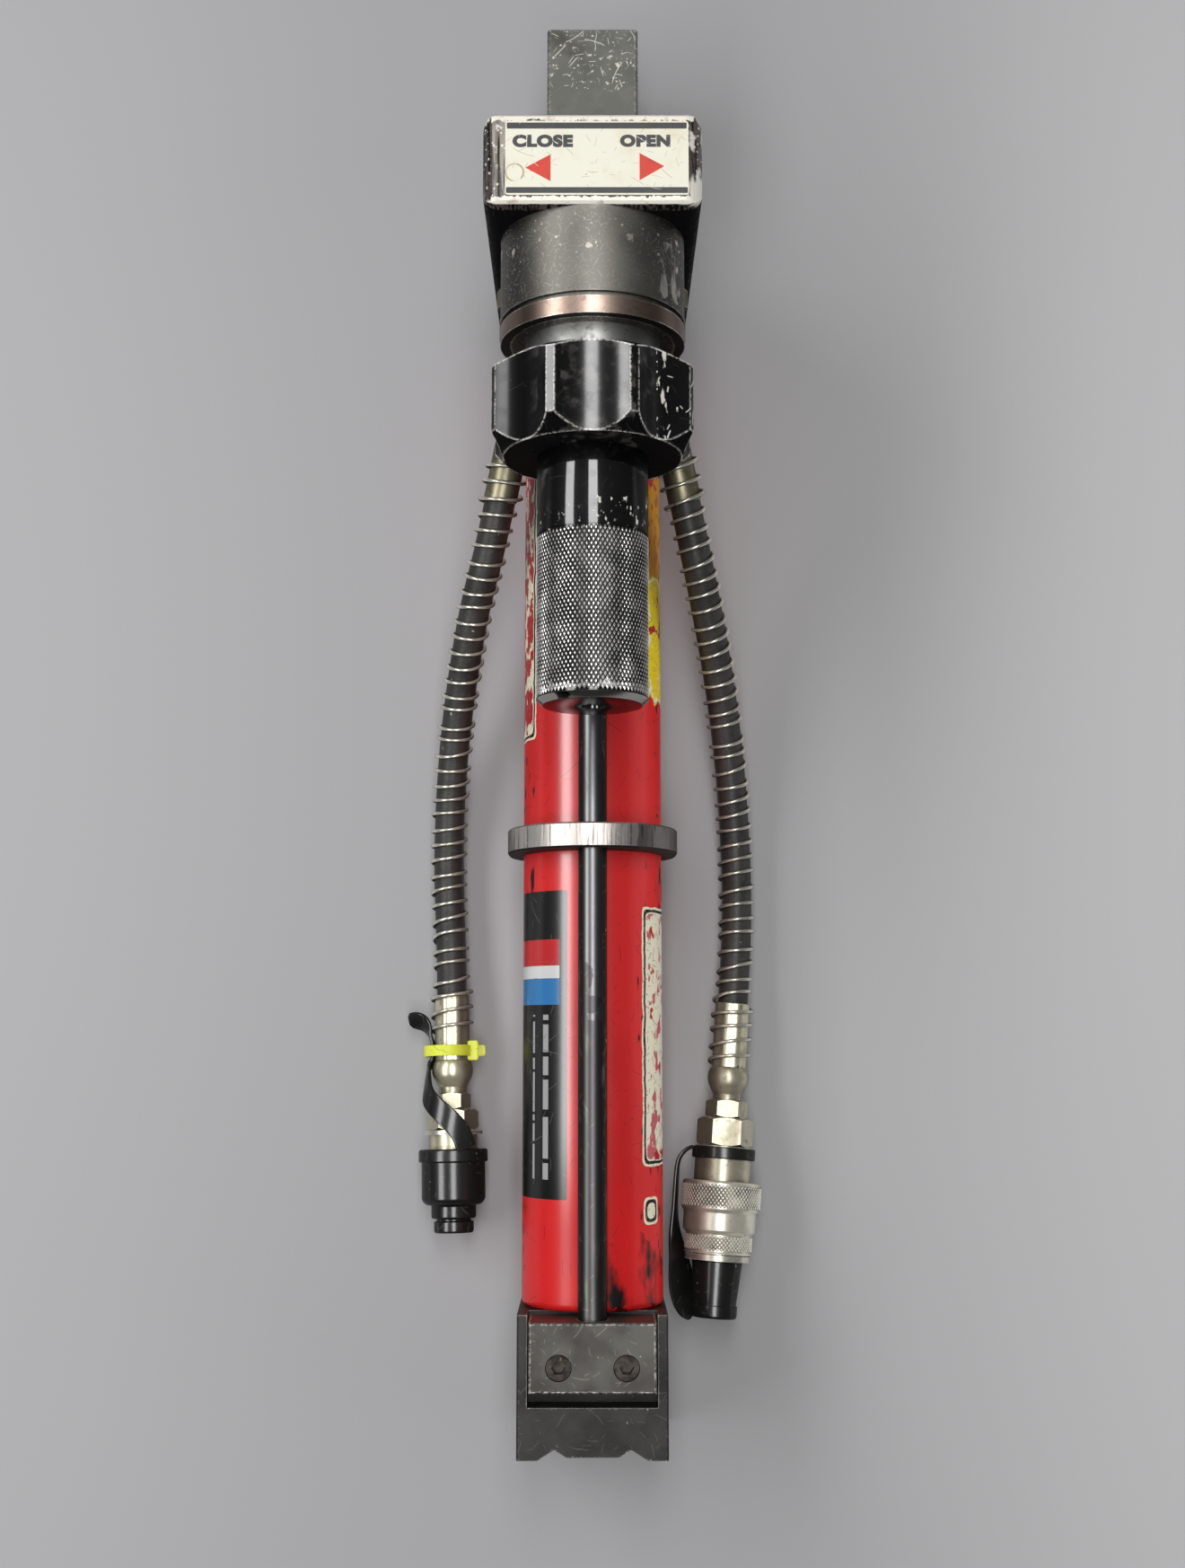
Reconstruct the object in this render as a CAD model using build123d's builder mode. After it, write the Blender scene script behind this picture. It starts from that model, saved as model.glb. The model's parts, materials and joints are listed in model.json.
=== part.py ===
"""Hydraulic rescue ram with a twist-grip valve, two hose tails and their quick couplings.

Millimetres. The ram lies along Y with its push head at +Y, Z is up from the floor that it lies on,
and the origin is on the floor under the middle of the closed ram.
"""
import math
import os

from build123d import *

os.makedirs("parts", exist_ok=True)

# Ram, from the foot to the push head
foot_length = 57.0
block_thickness = 37.0
head_reach = 96.0
stroke = 380.0
extended_gap = 13.0
axis_height = 42.0

# Oil ways: drilled along an axis and across it
oil_hole = 6.0
cross_hole = 5.0
oil_margin = 1.0

# Clearances
seat_gap = 0.05
running_gap = 0.05
free_gap = 0.3

# How far a cut runs past the surface that it opens
cut_margin = 1.0

# Cylinder tube
tube_od = 60.0
tube_bore = 48.0
tube_insert = 22.0
tube_insert_diameter = 56.0
tube_rim_round = 3.0
rod_oil_side = 12.0
rod_oil_depth = 6.0

# Base cap
cap_plug_length = 18.0
cap_spigot_diameter = 28.0
cap_spigot_length = 26.0
nut_recess_diameter = 31.0
nut_recess_depth = 13.0

# Base foot
foot_width = 61.5
foot_rise = 33.0
foot_edge = 0.8
pocket_side_gap = 1.0
pocket_floor_rise = 20.0
pocket_slot = 7.8
spigot_relief = 1.0
notch_spacing = 31.0
notch_width = 13.4
notch_depth = 4.2
notch_land_recess = 1.2

# Port block and its screws
port_block_width = 51.0
port_block_length = 27.3
port_block_rise = 46.0
port_block_gap = 1.3
port_block_edge = 0.5
port_oil_from_top = 9.7
screw_spacing = 27.2
screw_from_top = 17.4
screw_diameter = 6.0
screw_head_diameter = 10.0
screw_head_height = 6.0
screw_sink = 0.8
screw_grip = 8.5
screw_socket = 5.0

# Transfer pipe and its ring
pipe_od = 12.0
pipe_bore = 6.0
pipe_insert = 12.0
ring_radius = 36.6
ring_lift = 8.5
ring_thickness = 10.5
ring_from_foot = 189.6
ring_edge = 0.7
ring_slot_width = 6.0

# Hexagonal nuts: angle of the turned-off corners, and their flat's share that stays square
nut_bevel = 30.0
nut_land_share = 0.97

# Rubber seals
seal_section = 1.5
seal_squeeze = 0.05

# Piston, rod and push head
rod_diameter = 32.0
piston_length = 28.0
piston_end_gap = 2.0
piston_free_gap = 0.3
piston_seal_width = 6.0
piston_wear_width = 5.0
piston_groove_depth = 4.0
rod_tail_diameter = 20.0
nut_flats = 24.0
nut_height = 12.0
head_size = 41.0
head_length = 70.0
head_socket_depth = 30.0
head_edge = 1.0
head_pin_diameter = 8.0

# Rod gland
gland_flange_radius = 33.0
gland_flange_thickness = 8.0
gland_length = 28.0
gland_edge = 1.0
gland_groove_depth = 4.0
rod_seal_width = 6.0
rod_seal_from_end = 6.0
wiper_width = 5.0
wiper_depth = 3.0
spanner_hole = 6.0
spanner_hole_depth = 5.0
spanner_circle_radius = 27.0

# Head block and label
block_width = 86.0
block_top_margin = 38.0
block_corner = 6.0
block_shoulder = 7.0
block_sole_corner = 12.0
block_edge = 1.2
label_width = 71.4
label_height = 30.4
label_thickness = 0.4
label_side = 1.7

# Twist-grip valve
valve_rise = 87.0
housing_radius = 37.3
housing_length = 34.8
housing_groove_width = 2.1
housing_groove_depth = 1.7
housing_web = 14.0
housing_wall = 7.1
bearing_width = 6.9
bearing_wall = 4.3
lip_length = 3.8
valve_bore_depth = 30.0
valve_end_gap = 1.0
valve_sleeve_radius = 18.0
valve_sleeve_length = 41.0
valve_port_hole = 5.0
spool_radius = 12.0
rotor_shaft_radius = 13.5
rotor_flange_thickness = 7.7
rotor_neck_radius = 27.5
rotor_neck_shown = 10.2
spigot_radius = 10.0
spigot_in_grip = 47.5
valve_screw_diameter = 8.0
valve_screw_head = 13.0
valve_screw_head_height = 8.0
valve_screw_circle_radius = 27.0
valve_screw_grip = 10.0
valve_screw_socket = 6.0
return_wire = 2.8
return_coil_radius = 20.0
return_turns = 4
return_pitch = 3.55

# Lobed collar and grip
collar_radius = 42.5
collar_length = 36.5
collar_lobes = 8
flute_radius = 29.0
flute_depth = 6.5
collar_top_chamfer = 3.5
collar_sole_chamfer = 6.5
grip_radius = 22.3
grip_length = 100.7
grip_end_chamfer = 2.5
grip_recess = 8.8
grip_recess_depth = 30.0
grip_screw_diameter = 5.0
grip_screw_head = 8.5
grip_screw_head_height = 5.0
grip_screw_grip = 17.0
grip_screw_socket = 4.0

# Hose tails: hose, spring guard and end fittings
hose_diameter = 13.4
guard_wire = 1.5
guard_coil_radius = 8.3
ferrule_diameter = 14.4
ferrule_bore = 6.0
upper_ferrule_length = 34.0
stem_diameter = 10.0
stem_bend = 60.0
adapter_thread_diameter = 12.0
adapter_thread_length = 10.0
adapter_flats = 19.0
adapter_hex_length = 9.0
adapter_neck_length = 3.5
swivel_flats = 17.0
swivel_length = 12.0
guard_on_upper_ferrule = 19.0
guard_on_left_ferrule = 16.5
guard_on_right_ferrule = 26.5
left_guard_turns = 38
right_guard_turns = 40

# Bent exit of each hose: outward lean and dip of the upper ferrule, in degrees
exit_lean = 13.0
exit_dip = 17.0
exit_run = 22.0
hose_arc_share = 0.45

# Route of each hose: distance out from the ram, along from the head block's face, and height
left_route = [
    (40.0, 90.0, 70.0),
    (51.6, 132.0, 52.0),
    (57.2, 157.0, 37.6),
    (61.6, 183.0, 25.0),
    (64.2, 209.5, 16.0),
    (65.3, 234.5, 11.2),
    (64.9, 258.5, 10.2),
    (63.1, 302.0, 12.2),
]
right_route = [
    (40.0, 90.5, 70.0),
    (50.0, 133.0, 52.2),
    (55.4, 157.0, 38.4),
    (60.0, 183.0, 25.8),
    (63.1, 209.5, 16.8),
    (64.8, 235.0, 11.8),
    (65.4, 260.0, 10.6),
    (62.8, 305.8, 13.6),
]
left_coupling_lean = -1.3
left_coupling_rise = 3.0
right_coupling_lean = -4.4
right_coupling_rise = 4.0

# Left coupling, lengths along its axis from the end of the hose
left_ferrule_length = 29.0
bulb_radius = 9.1
bulb_length = 8.0
bulb_taper = 3.6
bulb_crown = 1.0
neck_radius = 6.2
neck_length = 2.4
left_small_flats = 14.0
left_small_hex = 7.1
left_big_flats = 19.6
left_big_hex = 9.1
nipple_radius = 10.6
nipple_shoulder = 12.3
nose_radius = 9.9
nose_length = 17.0
nose_groove_radius = 8.7
nose_groove_width = 4.0
nose_groove_from_end = 8.0
clip_radius = 13.0
clip_thickness = 1.6
clip_offset = 0.4
clip_mouth = 12.0
cap_flange_radius = 15.2
cap_flange_length = 5.5
cap_radius = 14.0
cap_body_length = 18.5
cap_step_radius = 9.8
cap_step_length = 7.0
cap_knob_radius = 8.7
cap_knob_length = 5.0
cap_knob_groove = 1.2
cap_grip_land = 4.0
cap_end_gap = 0.5

# Poppets inside both couplings
poppet_bore = 13.0
poppet_orifice = 9.0
poppet_head_length = 4.7
poppet_stem_radius = 2.5
poppet_stem_length = 9.0
poppet_nose_gap = 0.3
poppet_wire = 1.2
poppet_coil_radius = 4.4
poppet_turns = 5
coupling_oil_bore = 6.0
left_chamber_length = 24.0
left_seat_length = 8.0
right_chamber_length = 26.0
right_seat_length = 6.0

# Right coupling
right_ferrule_length = 28.6
right_small_flats = 16.0
right_small_hex = 7.8
right_big_flats = 21.5
right_big_hex = 12.3
body_radius = 12.4
body_neck_length = 15.0
body_shoulder_radius = 14.3
body_shoulder_from_sleeve = 3.0
body_shoulder_width = 1.5
sleeve_radius = 17.5
sleeve_band_radius = 15.9
sleeve_front_radius = 14.7
sleeve_edge = 1.0
sleeve_rear_length = 13.4
sleeve_band_length = 9.2
sleeve_front_length = 8.3
sleeve_spring_room = 18.6
sleeve_relief_radius = 13.6
sleeve_relief_length = 3.8
sleeve_wire = 1.4
sleeve_turns = 4
stop_ring_width = 2.5
stop_ring_radius = 14.3
socket_radius = 10.2
socket_depth = 22.0
ball_diameter = 4.0
ball_count = 6
ball_from_front = 9.0
plug_nose_radius = 8.1
plug_nose_length = 13.0
plug_seat_length = 6.0
plug_radius = 11.0
plug_end_radius = 9.3
plug_body_length = 18.5
plug_rim_radius = 9.9
plug_rim_length = 5.5

# Rubber straps and the cable tie
strap_width = 9.0
strap_thickness = 1.6
strap_ring_offset = 0.5
strap_ring_width = 5.0
strap_ring_wall = 1.4
tie_from_bulb = 2.0
tie_width = 4.8
tie_thickness = 1.2
tie_radius = 9.6
tie_shift = 1.9
tie_head_size = 7.0
tie_tail = 3.0

# Places along the ram
gland_in_tube = gland_length - block_thickness
tube_shown = stroke + extended_gap + cap_plug_length + piston_end_gap + piston_length + gland_in_tube
overall_length = foot_length + tube_shown + block_thickness + head_reach
y_foot = -overall_length / 2
y_tube = y_foot + foot_length
y_block = y_tube + tube_shown
y_block_end = y_block + block_thickness
y_head = y_block_end + head_reach
y_tube_end = y_block + tube_insert
y_chamber = y_tube + cap_plug_length
y_piston = y_chamber + piston_end_gap
y_piston_top = y_piston + piston_length
y_gland = y_block_end - gland_length
y_port_block = y_tube - port_block_gap
y_pipe_start = y_port_block - pipe_insert
y_pipe_end = y_block + pipe_insert
y_oil = y_port_block - port_oil_from_top

# Heights above the floor and radii that follow
tube_radius = tube_od / 2
bore_radius = tube_bore / 2
rod_radius = rod_diameter / 2
pipe_radius = pipe_od / 2
pipe_height = axis_height + tube_radius + free_gap + pipe_radius
valve_height = axis_height + valve_rise
foot_top = axis_height + foot_rise
pocket_floor = axis_height + pocket_floor_rise
port_face = axis_height + port_block_rise
label_face = valve_height + block_top_margin


def along(start, direction):
    """Plane at a start point whose y axis runs in a direction."""
    run = Vector(direction).normalized()
    side = run.cross(Vector(0, 0, 1)) if abs(run.Z) < 0.9 else Vector(1, 0, 0)
    return Plane(origin=start, x_dir=side, z_dir=side.cross(run))


def across(line, distance):
    """Plane square to a line's own y axis, a distance along it."""
    return Plane(origin=line.origin + line.y_dir * distance, x_dir=line.x_dir, z_dir=line.y_dir)


def turned(line, outline, mode=Mode.ADD):
    """Revolve an outline of (radius, distance) points round the line."""
    with BuildSketch(line) as section:
        with BuildLine():
            Polyline(*outline, close=True)
        make_face()
    revolve(section.sketch, axis=Axis(line.origin, line.y_dir), mode=mode)


def round_bar(line, diameter, start, end, mode=Mode.ADD):
    """A cylinder on the line, from one distance to another."""
    with BuildSketch(across(line, start)) as section:
        Circle(diameter / 2)
    extrude(section.sketch, amount=end - start, mode=mode)


def hex_nut(line, flats, start, end):
    """A hexagonal nut on the line, from one distance to another, with its corners turned off at both ends."""
    land = flats / 2 * nut_land_share
    rim = flats / 2 / nut_land_share / math.cos(math.radians(30))
    drop = (rim - land) * math.tan(math.radians(nut_bevel))
    with BuildSketch(across(line, start)) as section:
        RegularPolygon(flats / 2, 6, major_radius=False)
    bar = extrude(section.sketch, amount=end - start, mode=Mode.PRIVATE)
    with BuildSketch(line) as barrel_section:
        with BuildLine():
            Polyline((0, start), (land, start), (rim, start + drop), (rim, end - drop), (land, end), (0, end),
                     close=True)
        make_face()
    barrel = revolve(barrel_section.sketch, axis=Axis(line.origin, line.y_dir), mode=Mode.PRIVATE)
    add(bar & barrel)


def hex_socket(line, flats, start, end):
    """Cut a hexagonal socket into the open part, from one distance to another."""
    with BuildSketch(across(line, start)) as section:
        RegularPolygon(flats / 2, 6, major_radius=False)
    extrude(section.sketch, amount=end - start, mode=Mode.SUBTRACT)


def groove(line, inner, outer, start, end):
    """Cut a square ring out of the open part."""
    turned(line, [(inner, start), (outer, start), (outer, end), (inner, end)], Mode.SUBTRACT)


def o_ring(line, inner, start, section=seal_section):
    """A round rubber ring on the line, with its inside radius and its first distance."""
    with BuildSketch(line) as ring_section:
        with Locations((inner + section / 2, start + section / 2)):
            Circle(section / 2)
    revolve(ring_section.sketch, axis=Axis(line.origin, line.y_dir))


ram_line = along((0, 0, axis_height), (0, 1, 0))
pipe_line = along((0, 0, pipe_height), (0, 1, 0))
valve_line = along((0, y_block, valve_height), (0, -1, 0))
seal_room = seal_section + 2 * seal_squeeze

# Cylinder tube, with the hole that feeds its rod side
rod_oil_line = along((rod_oil_side, y_block + rod_oil_depth, axis_height), (0, 0, 1))
with BuildPart() as tube:
    turned(ram_line, [(bore_radius, y_tube), (tube_radius, y_tube), (tube_radius, y_block),
                      (tube_insert_diameter / 2, y_block), (tube_insert_diameter / 2, y_tube_end),
                      (bore_radius, y_tube_end)])
    rim = tube.edges().group_by(Axis.Y)[0].sort_by(SortBy.RADIUS)[-1]
    fillet(rim, tube_rim_round)
    round_bar(rod_oil_line, cross_hole, 0, tube_od, Mode.SUBTRACT)
tube.part.label = "cylinder_tube"
export_step(tube.part, "parts/cylinder_tube.step")

# Base cap: plug in the tube, recess for the piston nut, spigot in the foot, oil way
cap_plug_radius = bore_radius - seat_gap
spigot_end = y_tube - cap_spigot_length
base_oil_line = along((0, y_oil, axis_height), (0, 0, 1))
with BuildPart() as base_cap:
    round_bar(ram_line, 2 * cap_plug_radius, y_tube, y_chamber)
    round_bar(ram_line, cap_spigot_diameter, spigot_end, y_tube)
    round_bar(ram_line, nut_recess_diameter, y_chamber - nut_recess_depth, y_chamber, Mode.SUBTRACT)
    round_bar(ram_line, oil_hole, y_oil - cross_hole / 2 - oil_margin, y_chamber, Mode.SUBTRACT)
    round_bar(base_oil_line, cross_hole, 0, cap_spigot_diameter, Mode.SUBTRACT)
base_cap.part.label = "base_cap"
export_step(base_cap.part, "parts/base_cap.step")

# Base foot: V notches in the end, pocket for the port block, bore for the base cap
pocket_width = port_block_width + 2 * pocket_side_gap
pocket_end = y_port_block - port_block_length - pocket_slot
y_screw = y_port_block - screw_from_top
screw_tip = pocket_floor - screw_grip
with BuildPart() as foot:
    with BuildSketch() as foot_outline:
        with Locations((0, y_foot)):
            Rectangle(foot_width, foot_length, align=(Align.CENTER, Align.MIN))
        for side in (-1, 1):
            with BuildLine():
                middle = side * notch_spacing / 2
                Polyline((middle - notch_width / 2, y_foot), (middle, y_foot + notch_depth),
                         (middle + notch_width / 2, y_foot), close=True)
            make_face(mode=Mode.SUBTRACT)
        with Locations((0, y_foot)):
            Rectangle(notch_spacing, notch_land_recess, align=(Align.CENTER, Align.MIN), mode=Mode.SUBTRACT)
    extrude(amount=foot_top)
    chamfer(foot.edges().filter_by(Axis.Y).filter_by(lambda edge: edge.length > notch_depth), foot_edge)
    with BuildSketch(Plane.XY.offset(pocket_floor)):
        with Locations((0, y_tube)):
            Rectangle(pocket_width, y_tube - pocket_end, align=(Align.CENTER, Align.MAX))
    extrude(amount=foot_top - pocket_floor, mode=Mode.SUBTRACT)
    round_bar(ram_line, cap_spigot_diameter + 2 * seat_gap, spigot_end - spigot_relief, y_tube,
              Mode.SUBTRACT)
    round_bar(base_oil_line, cross_hole, 0, pocket_floor_rise, Mode.SUBTRACT)
    for side in (-1, 1):
        screw_line = along((side * screw_spacing / 2, y_screw, 0), (0, 0, 1))
        round_bar(screw_line, screw_diameter + 2 * seat_gap, screw_tip - spigot_relief, pocket_floor,
                  Mode.SUBTRACT)
foot.part.label = "base_foot"
export_step(foot.part, "parts/base_foot.step")

# Port block: takes the pipe's end, feeds the foot's oil way, held by two screws
port_oil_line = along((0, y_oil, pocket_floor), (0, 0, 1))
port_seal_inner = cross_hole / 2 + seal_section
pipe_seal_start = pipe_insert / 2
port_pipe_line = along((0, y_port_block, pipe_height), (0, -1, 0))
block_pipe_line = along((0, y_block, pipe_height), (0, 1, 0))
pipe_seal_inner = pipe_radius - seal_section
screw_seat = port_face - screw_sink - screw_head_height
with BuildPart() as port_block:
    with BuildSketch(Plane.XY.offset(pocket_floor)):
        with Locations((0, y_port_block)):
            Rectangle(port_block_width, port_block_length, align=(Align.CENTER, Align.MAX))
    extrude(amount=port_face - pocket_floor)
    chamfer(port_block.faces().sort_by(Axis.Z)[-1].edges(), port_block_edge)
    round_bar(port_pipe_line, pipe_od + 2 * seat_gap, 0, pipe_insert, Mode.SUBTRACT)
    round_bar(port_oil_line, cross_hole, 0, pipe_height - pocket_floor, Mode.SUBTRACT)
    groove(port_oil_line, port_seal_inner - seal_squeeze, port_seal_inner + seal_section + seal_squeeze,
           0, seal_room)
    for side in (-1, 1):
        screw_line = along((side * screw_spacing / 2, y_screw, 0), (0, 0, 1))
        round_bar(screw_line, screw_diameter + 2 * seat_gap, pocket_floor, port_face, Mode.SUBTRACT)
        round_bar(screw_line, screw_head_diameter + 2 * free_gap, screw_seat, port_face, Mode.SUBTRACT)
port_block.part.label = "port_block"
export_step(port_block.part, "parts/port_block.step")

with BuildPart() as port_block_screws:
    for side in (-1, 1):
        screw_line = along((side * screw_spacing / 2, y_screw, 0), (0, 0, 1))
        round_bar(screw_line, screw_diameter, screw_tip, screw_seat)
        round_bar(screw_line, screw_head_diameter, screw_seat, screw_seat + screw_head_height)
        hex_socket(screw_line, screw_socket, screw_seat + screw_head_height / 2,
                   screw_seat + screw_head_height)
port_block_screws.part.label = "port_block_screws"
export_step(port_block_screws.part, "parts/port_block_screws.step")

with BuildPart() as port_seal:
    o_ring(port_oil_line, port_seal_inner, seal_squeeze)
port_seal.part.label = "port_seal"
export_step(port_seal.part, "parts/port_seal.step")

# Transfer pipe, its two end seals and the ring that holds it to the tube
with BuildPart() as pipe:
    turned(pipe_line, [(pipe_bore / 2, y_pipe_start), (pipe_radius, y_pipe_start),
                       (pipe_radius, y_pipe_end), (pipe_bore / 2, y_pipe_end)])
    for seal_line in (port_pipe_line, block_pipe_line):
        groove(seal_line, pipe_seal_inner - seal_squeeze, pipe_radius + seat_gap,
               pipe_seal_start - seal_squeeze, pipe_seal_start + seal_section + seal_squeeze)
pipe.part.label = "transfer_pipe"
export_step(pipe.part, "parts/transfer_pipe.step")

with BuildPart() as pipe_seals:
    o_ring(port_pipe_line, pipe_seal_inner, pipe_seal_start)
    o_ring(block_pipe_line, pipe_seal_inner, pipe_seal_start)
pipe_seals.part.label = "pipe_seals"
export_step(pipe_seals.part, "parts/pipe_seals.step")

y_ring = y_tube + ring_from_foot
with BuildPart() as pipe_ring:
    with BuildSketch(Plane.XZ.offset(-y_ring - ring_thickness)):
        with Locations((0, axis_height + ring_lift / 2)):
            SlotCenterToCenter(ring_lift, 2 * ring_radius, rotation=90)
        with Locations((0, axis_height)):
            Circle(tube_radius + seat_gap, mode=Mode.SUBTRACT)
        with Locations((0, pipe_height)):
            Circle(pipe_radius + seat_gap, mode=Mode.SUBTRACT)
        with Locations((0, pipe_height)):
            Rectangle(ring_slot_width, pipe_od, align=(Align.CENTER, Align.MAX), mode=Mode.SUBTRACT)
    extrude(amount=ring_thickness)
    ring_rims = pipe_ring.edges().group_by(Axis.Y)
    ring_outside = [edge for edge in ring_rims[0] + ring_rims[-1]
                    if abs(edge.center().X) > tube_radius or edge.bounding_box().size.X > tube_od + cut_margin]
    chamfer(ring_outside, ring_edge)
pipe_ring.part.label = "pipe_ring"
export_step(pipe_ring.part, "parts/pipe_ring.step")

# Piston, rod and push head, closed
piston_radius = bore_radius - piston_free_gap
piston_seal_radius = bore_radius - running_gap
piston_groove_radius = piston_radius - piston_groove_depth
piston_seal_start = y_piston + piston_length / 2 - piston_seal_width
piston_wear_start = y_piston + piston_length / 2 + piston_wear_width / 2
rod_tail_end = y_piston - nut_height
y_head_start = y_head - head_length
y_rod_end = y_head_start + head_socket_depth
head_pin_line = along((-head_size / 2, y_head_start + head_socket_depth / 2, axis_height), (1, 0, 0))

with BuildPart() as piston:
    turned(ram_line, [(rod_tail_diameter / 2 + seat_gap, y_piston), (piston_radius, y_piston),
                      (piston_radius, y_piston_top), (rod_tail_diameter / 2 + seat_gap, y_piston_top)])
    groove(ram_line, piston_groove_radius, piston_radius + cut_margin,
           piston_seal_start, piston_seal_start + piston_seal_width)
    groove(ram_line, piston_groove_radius, piston_radius + cut_margin,
           piston_wear_start, piston_wear_start + piston_wear_width)
piston.part.label = "piston"
export_step(piston.part, "parts/piston.step")


def piston_band(start, width):
    """A ring that fills a piston groove and runs on the tube's bore."""
    inside = piston_groove_radius + seat_gap
    turned(ram_line, [(inside, start + seat_gap), (piston_seal_radius, start + seat_gap),
                      (piston_seal_radius, start + width - seat_gap), (inside, start + width - seat_gap)])


with BuildPart() as piston_seal:
    piston_band(piston_seal_start, piston_seal_width)
piston_seal.part.label = "piston_seal"
export_step(piston_seal.part, "parts/piston_seal.step")

with BuildPart() as piston_wear_ring:
    piston_band(piston_wear_start, piston_wear_width)
piston_wear_ring.part.label = "piston_wear_ring"
export_step(piston_wear_ring.part, "parts/piston_wear_ring.step")

with BuildPart() as rod:
    round_bar(ram_line, rod_diameter, y_piston_top, y_rod_end)
    round_bar(ram_line, rod_tail_diameter, rod_tail_end, y_piston_top)
    round_bar(head_pin_line, head_pin_diameter + 2 * seat_gap, 0, head_size, Mode.SUBTRACT)
rod.part.label = "piston_rod"
export_step(rod.part, "parts/piston_rod.step")

with BuildPart() as piston_nut:
    hex_nut(ram_line, nut_flats, rod_tail_end, y_piston)
    round_bar(ram_line, rod_tail_diameter + 2 * seat_gap, rod_tail_end, y_piston, Mode.SUBTRACT)
piston_nut.part.label = "piston_nut"
export_step(piston_nut.part, "parts/piston_nut.step")

with BuildPart() as push_head:
    with BuildSketch(across(ram_line, y_head_start)):
        Rectangle(head_size, head_size)
    extrude(amount=head_length)
    chamfer(push_head.edges(), head_edge)
    round_bar(ram_line, rod_diameter + 2 * seat_gap, y_head_start, y_rod_end, Mode.SUBTRACT)
    round_bar(head_pin_line, head_pin_diameter + 2 * seat_gap, 0, head_size, Mode.SUBTRACT)
push_head.part.label = "push_head"
export_step(push_head.part, "parts/push_head.step")

with BuildPart() as head_pin:
    round_bar(head_pin_line, head_pin_diameter, head_edge, head_size - head_edge)
head_pin.part.label = "head_pin"
export_step(head_pin.part, "parts/head_pin.step")

# Rod gland, screwed into the head block and the tube's end
gland_radius = bore_radius - seat_gap
rod_bore_radius = rod_radius + running_gap
gland_face = y_block_end + gland_flange_thickness
rod_seal_start = y_gland + rod_seal_from_end
rod_seal_radius = rod_radius + gland_groove_depth
wiper_radius = rod_radius + wiper_depth
wiper_start = gland_face - wiper_width
with BuildPart() as gland:
    turned(ram_line, [(rod_bore_radius, y_gland), (gland_radius, y_gland), (gland_radius, y_block_end),
                      (gland_flange_radius, y_block_end), (gland_flange_radius, gland_face - gland_edge),
                      (gland_flange_radius - gland_edge, gland_face), (rod_bore_radius, gland_face)])
    groove(ram_line, rod_radius, rod_seal_radius, rod_seal_start, rod_seal_start + rod_seal_width)
    groove(ram_line, rod_radius, wiper_radius, wiper_start, gland_face)
    with BuildSketch(across(ram_line, gland_face)):
        with PolarLocations(spanner_circle_radius, 4, start_angle=45):
            Circle(spanner_hole / 2)
    extrude(amount=-spanner_hole_depth, mode=Mode.SUBTRACT)
gland.part.label = "rod_gland"
export_step(gland.part, "parts/rod_gland.step")

with BuildPart() as rod_seal:
    turned(ram_line, [(rod_bore_radius, rod_seal_start + seat_gap),
                      (rod_seal_radius - seat_gap, rod_seal_start + seat_gap),
                      (rod_seal_radius - seat_gap, rod_seal_start + rod_seal_width - seat_gap),
                      (rod_bore_radius, rod_seal_start + rod_seal_width - seat_gap)])
rod_seal.part.label = "rod_seal"
export_step(rod_seal.part, "parts/rod_seal.step")

with BuildPart() as rod_wiper:
    turned(ram_line, [(rod_bore_radius, wiper_start + seat_gap), (wiper_radius - seat_gap, wiper_start + seat_gap),
                      (wiper_radius - seat_gap, gland_face), (rod_bore_radius, gland_face)])
rod_wiper.part.label = "rod_wiper"
export_step(rod_wiper.part, "parts/rod_wiper.step")

# Hose exits: the bent stem's corner lies on the port's axis and on the ferrule's axis


def heading(side, lean, rise):
    """Direction of a hose end: away from the head block, leaning outwards and rising, in degrees."""
    lean, rise = math.radians(lean), math.radians(rise)
    return Vector(side * math.sin(lean) * math.cos(rise), -math.cos(lean) * math.cos(rise), math.sin(rise))


def route_point(side, point):
    """Place of a route point that is given as out, along and height."""
    out, run, height = point
    return Vector(side * out, y_block - run, height)


tails = {
    "left": (-1, left_route, heading(-1, left_coupling_lean, left_coupling_rise)),
    "right": (1, right_route, heading(1, right_coupling_lean, right_coupling_rise)),
}
stem_turn = math.acos(math.cos(math.radians(exit_lean)) * math.cos(math.radians(exit_dip)))
stem_tangent = stem_bend * math.tan(stem_turn / 2)
exits = {name: heading(side, exit_lean, -exit_dip) for name, (side, route, end) in tails.items()}
corners = {name: route_point(side, route[0]) - exits[name] * (upper_ferrule_length + stem_tangent)
           for name, (side, route, end) in tails.items()}
port_lines = {name: along((corner.X, y_block, corner.Z), (0, -1, 0)) for name, corner in corners.items()}

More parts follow.
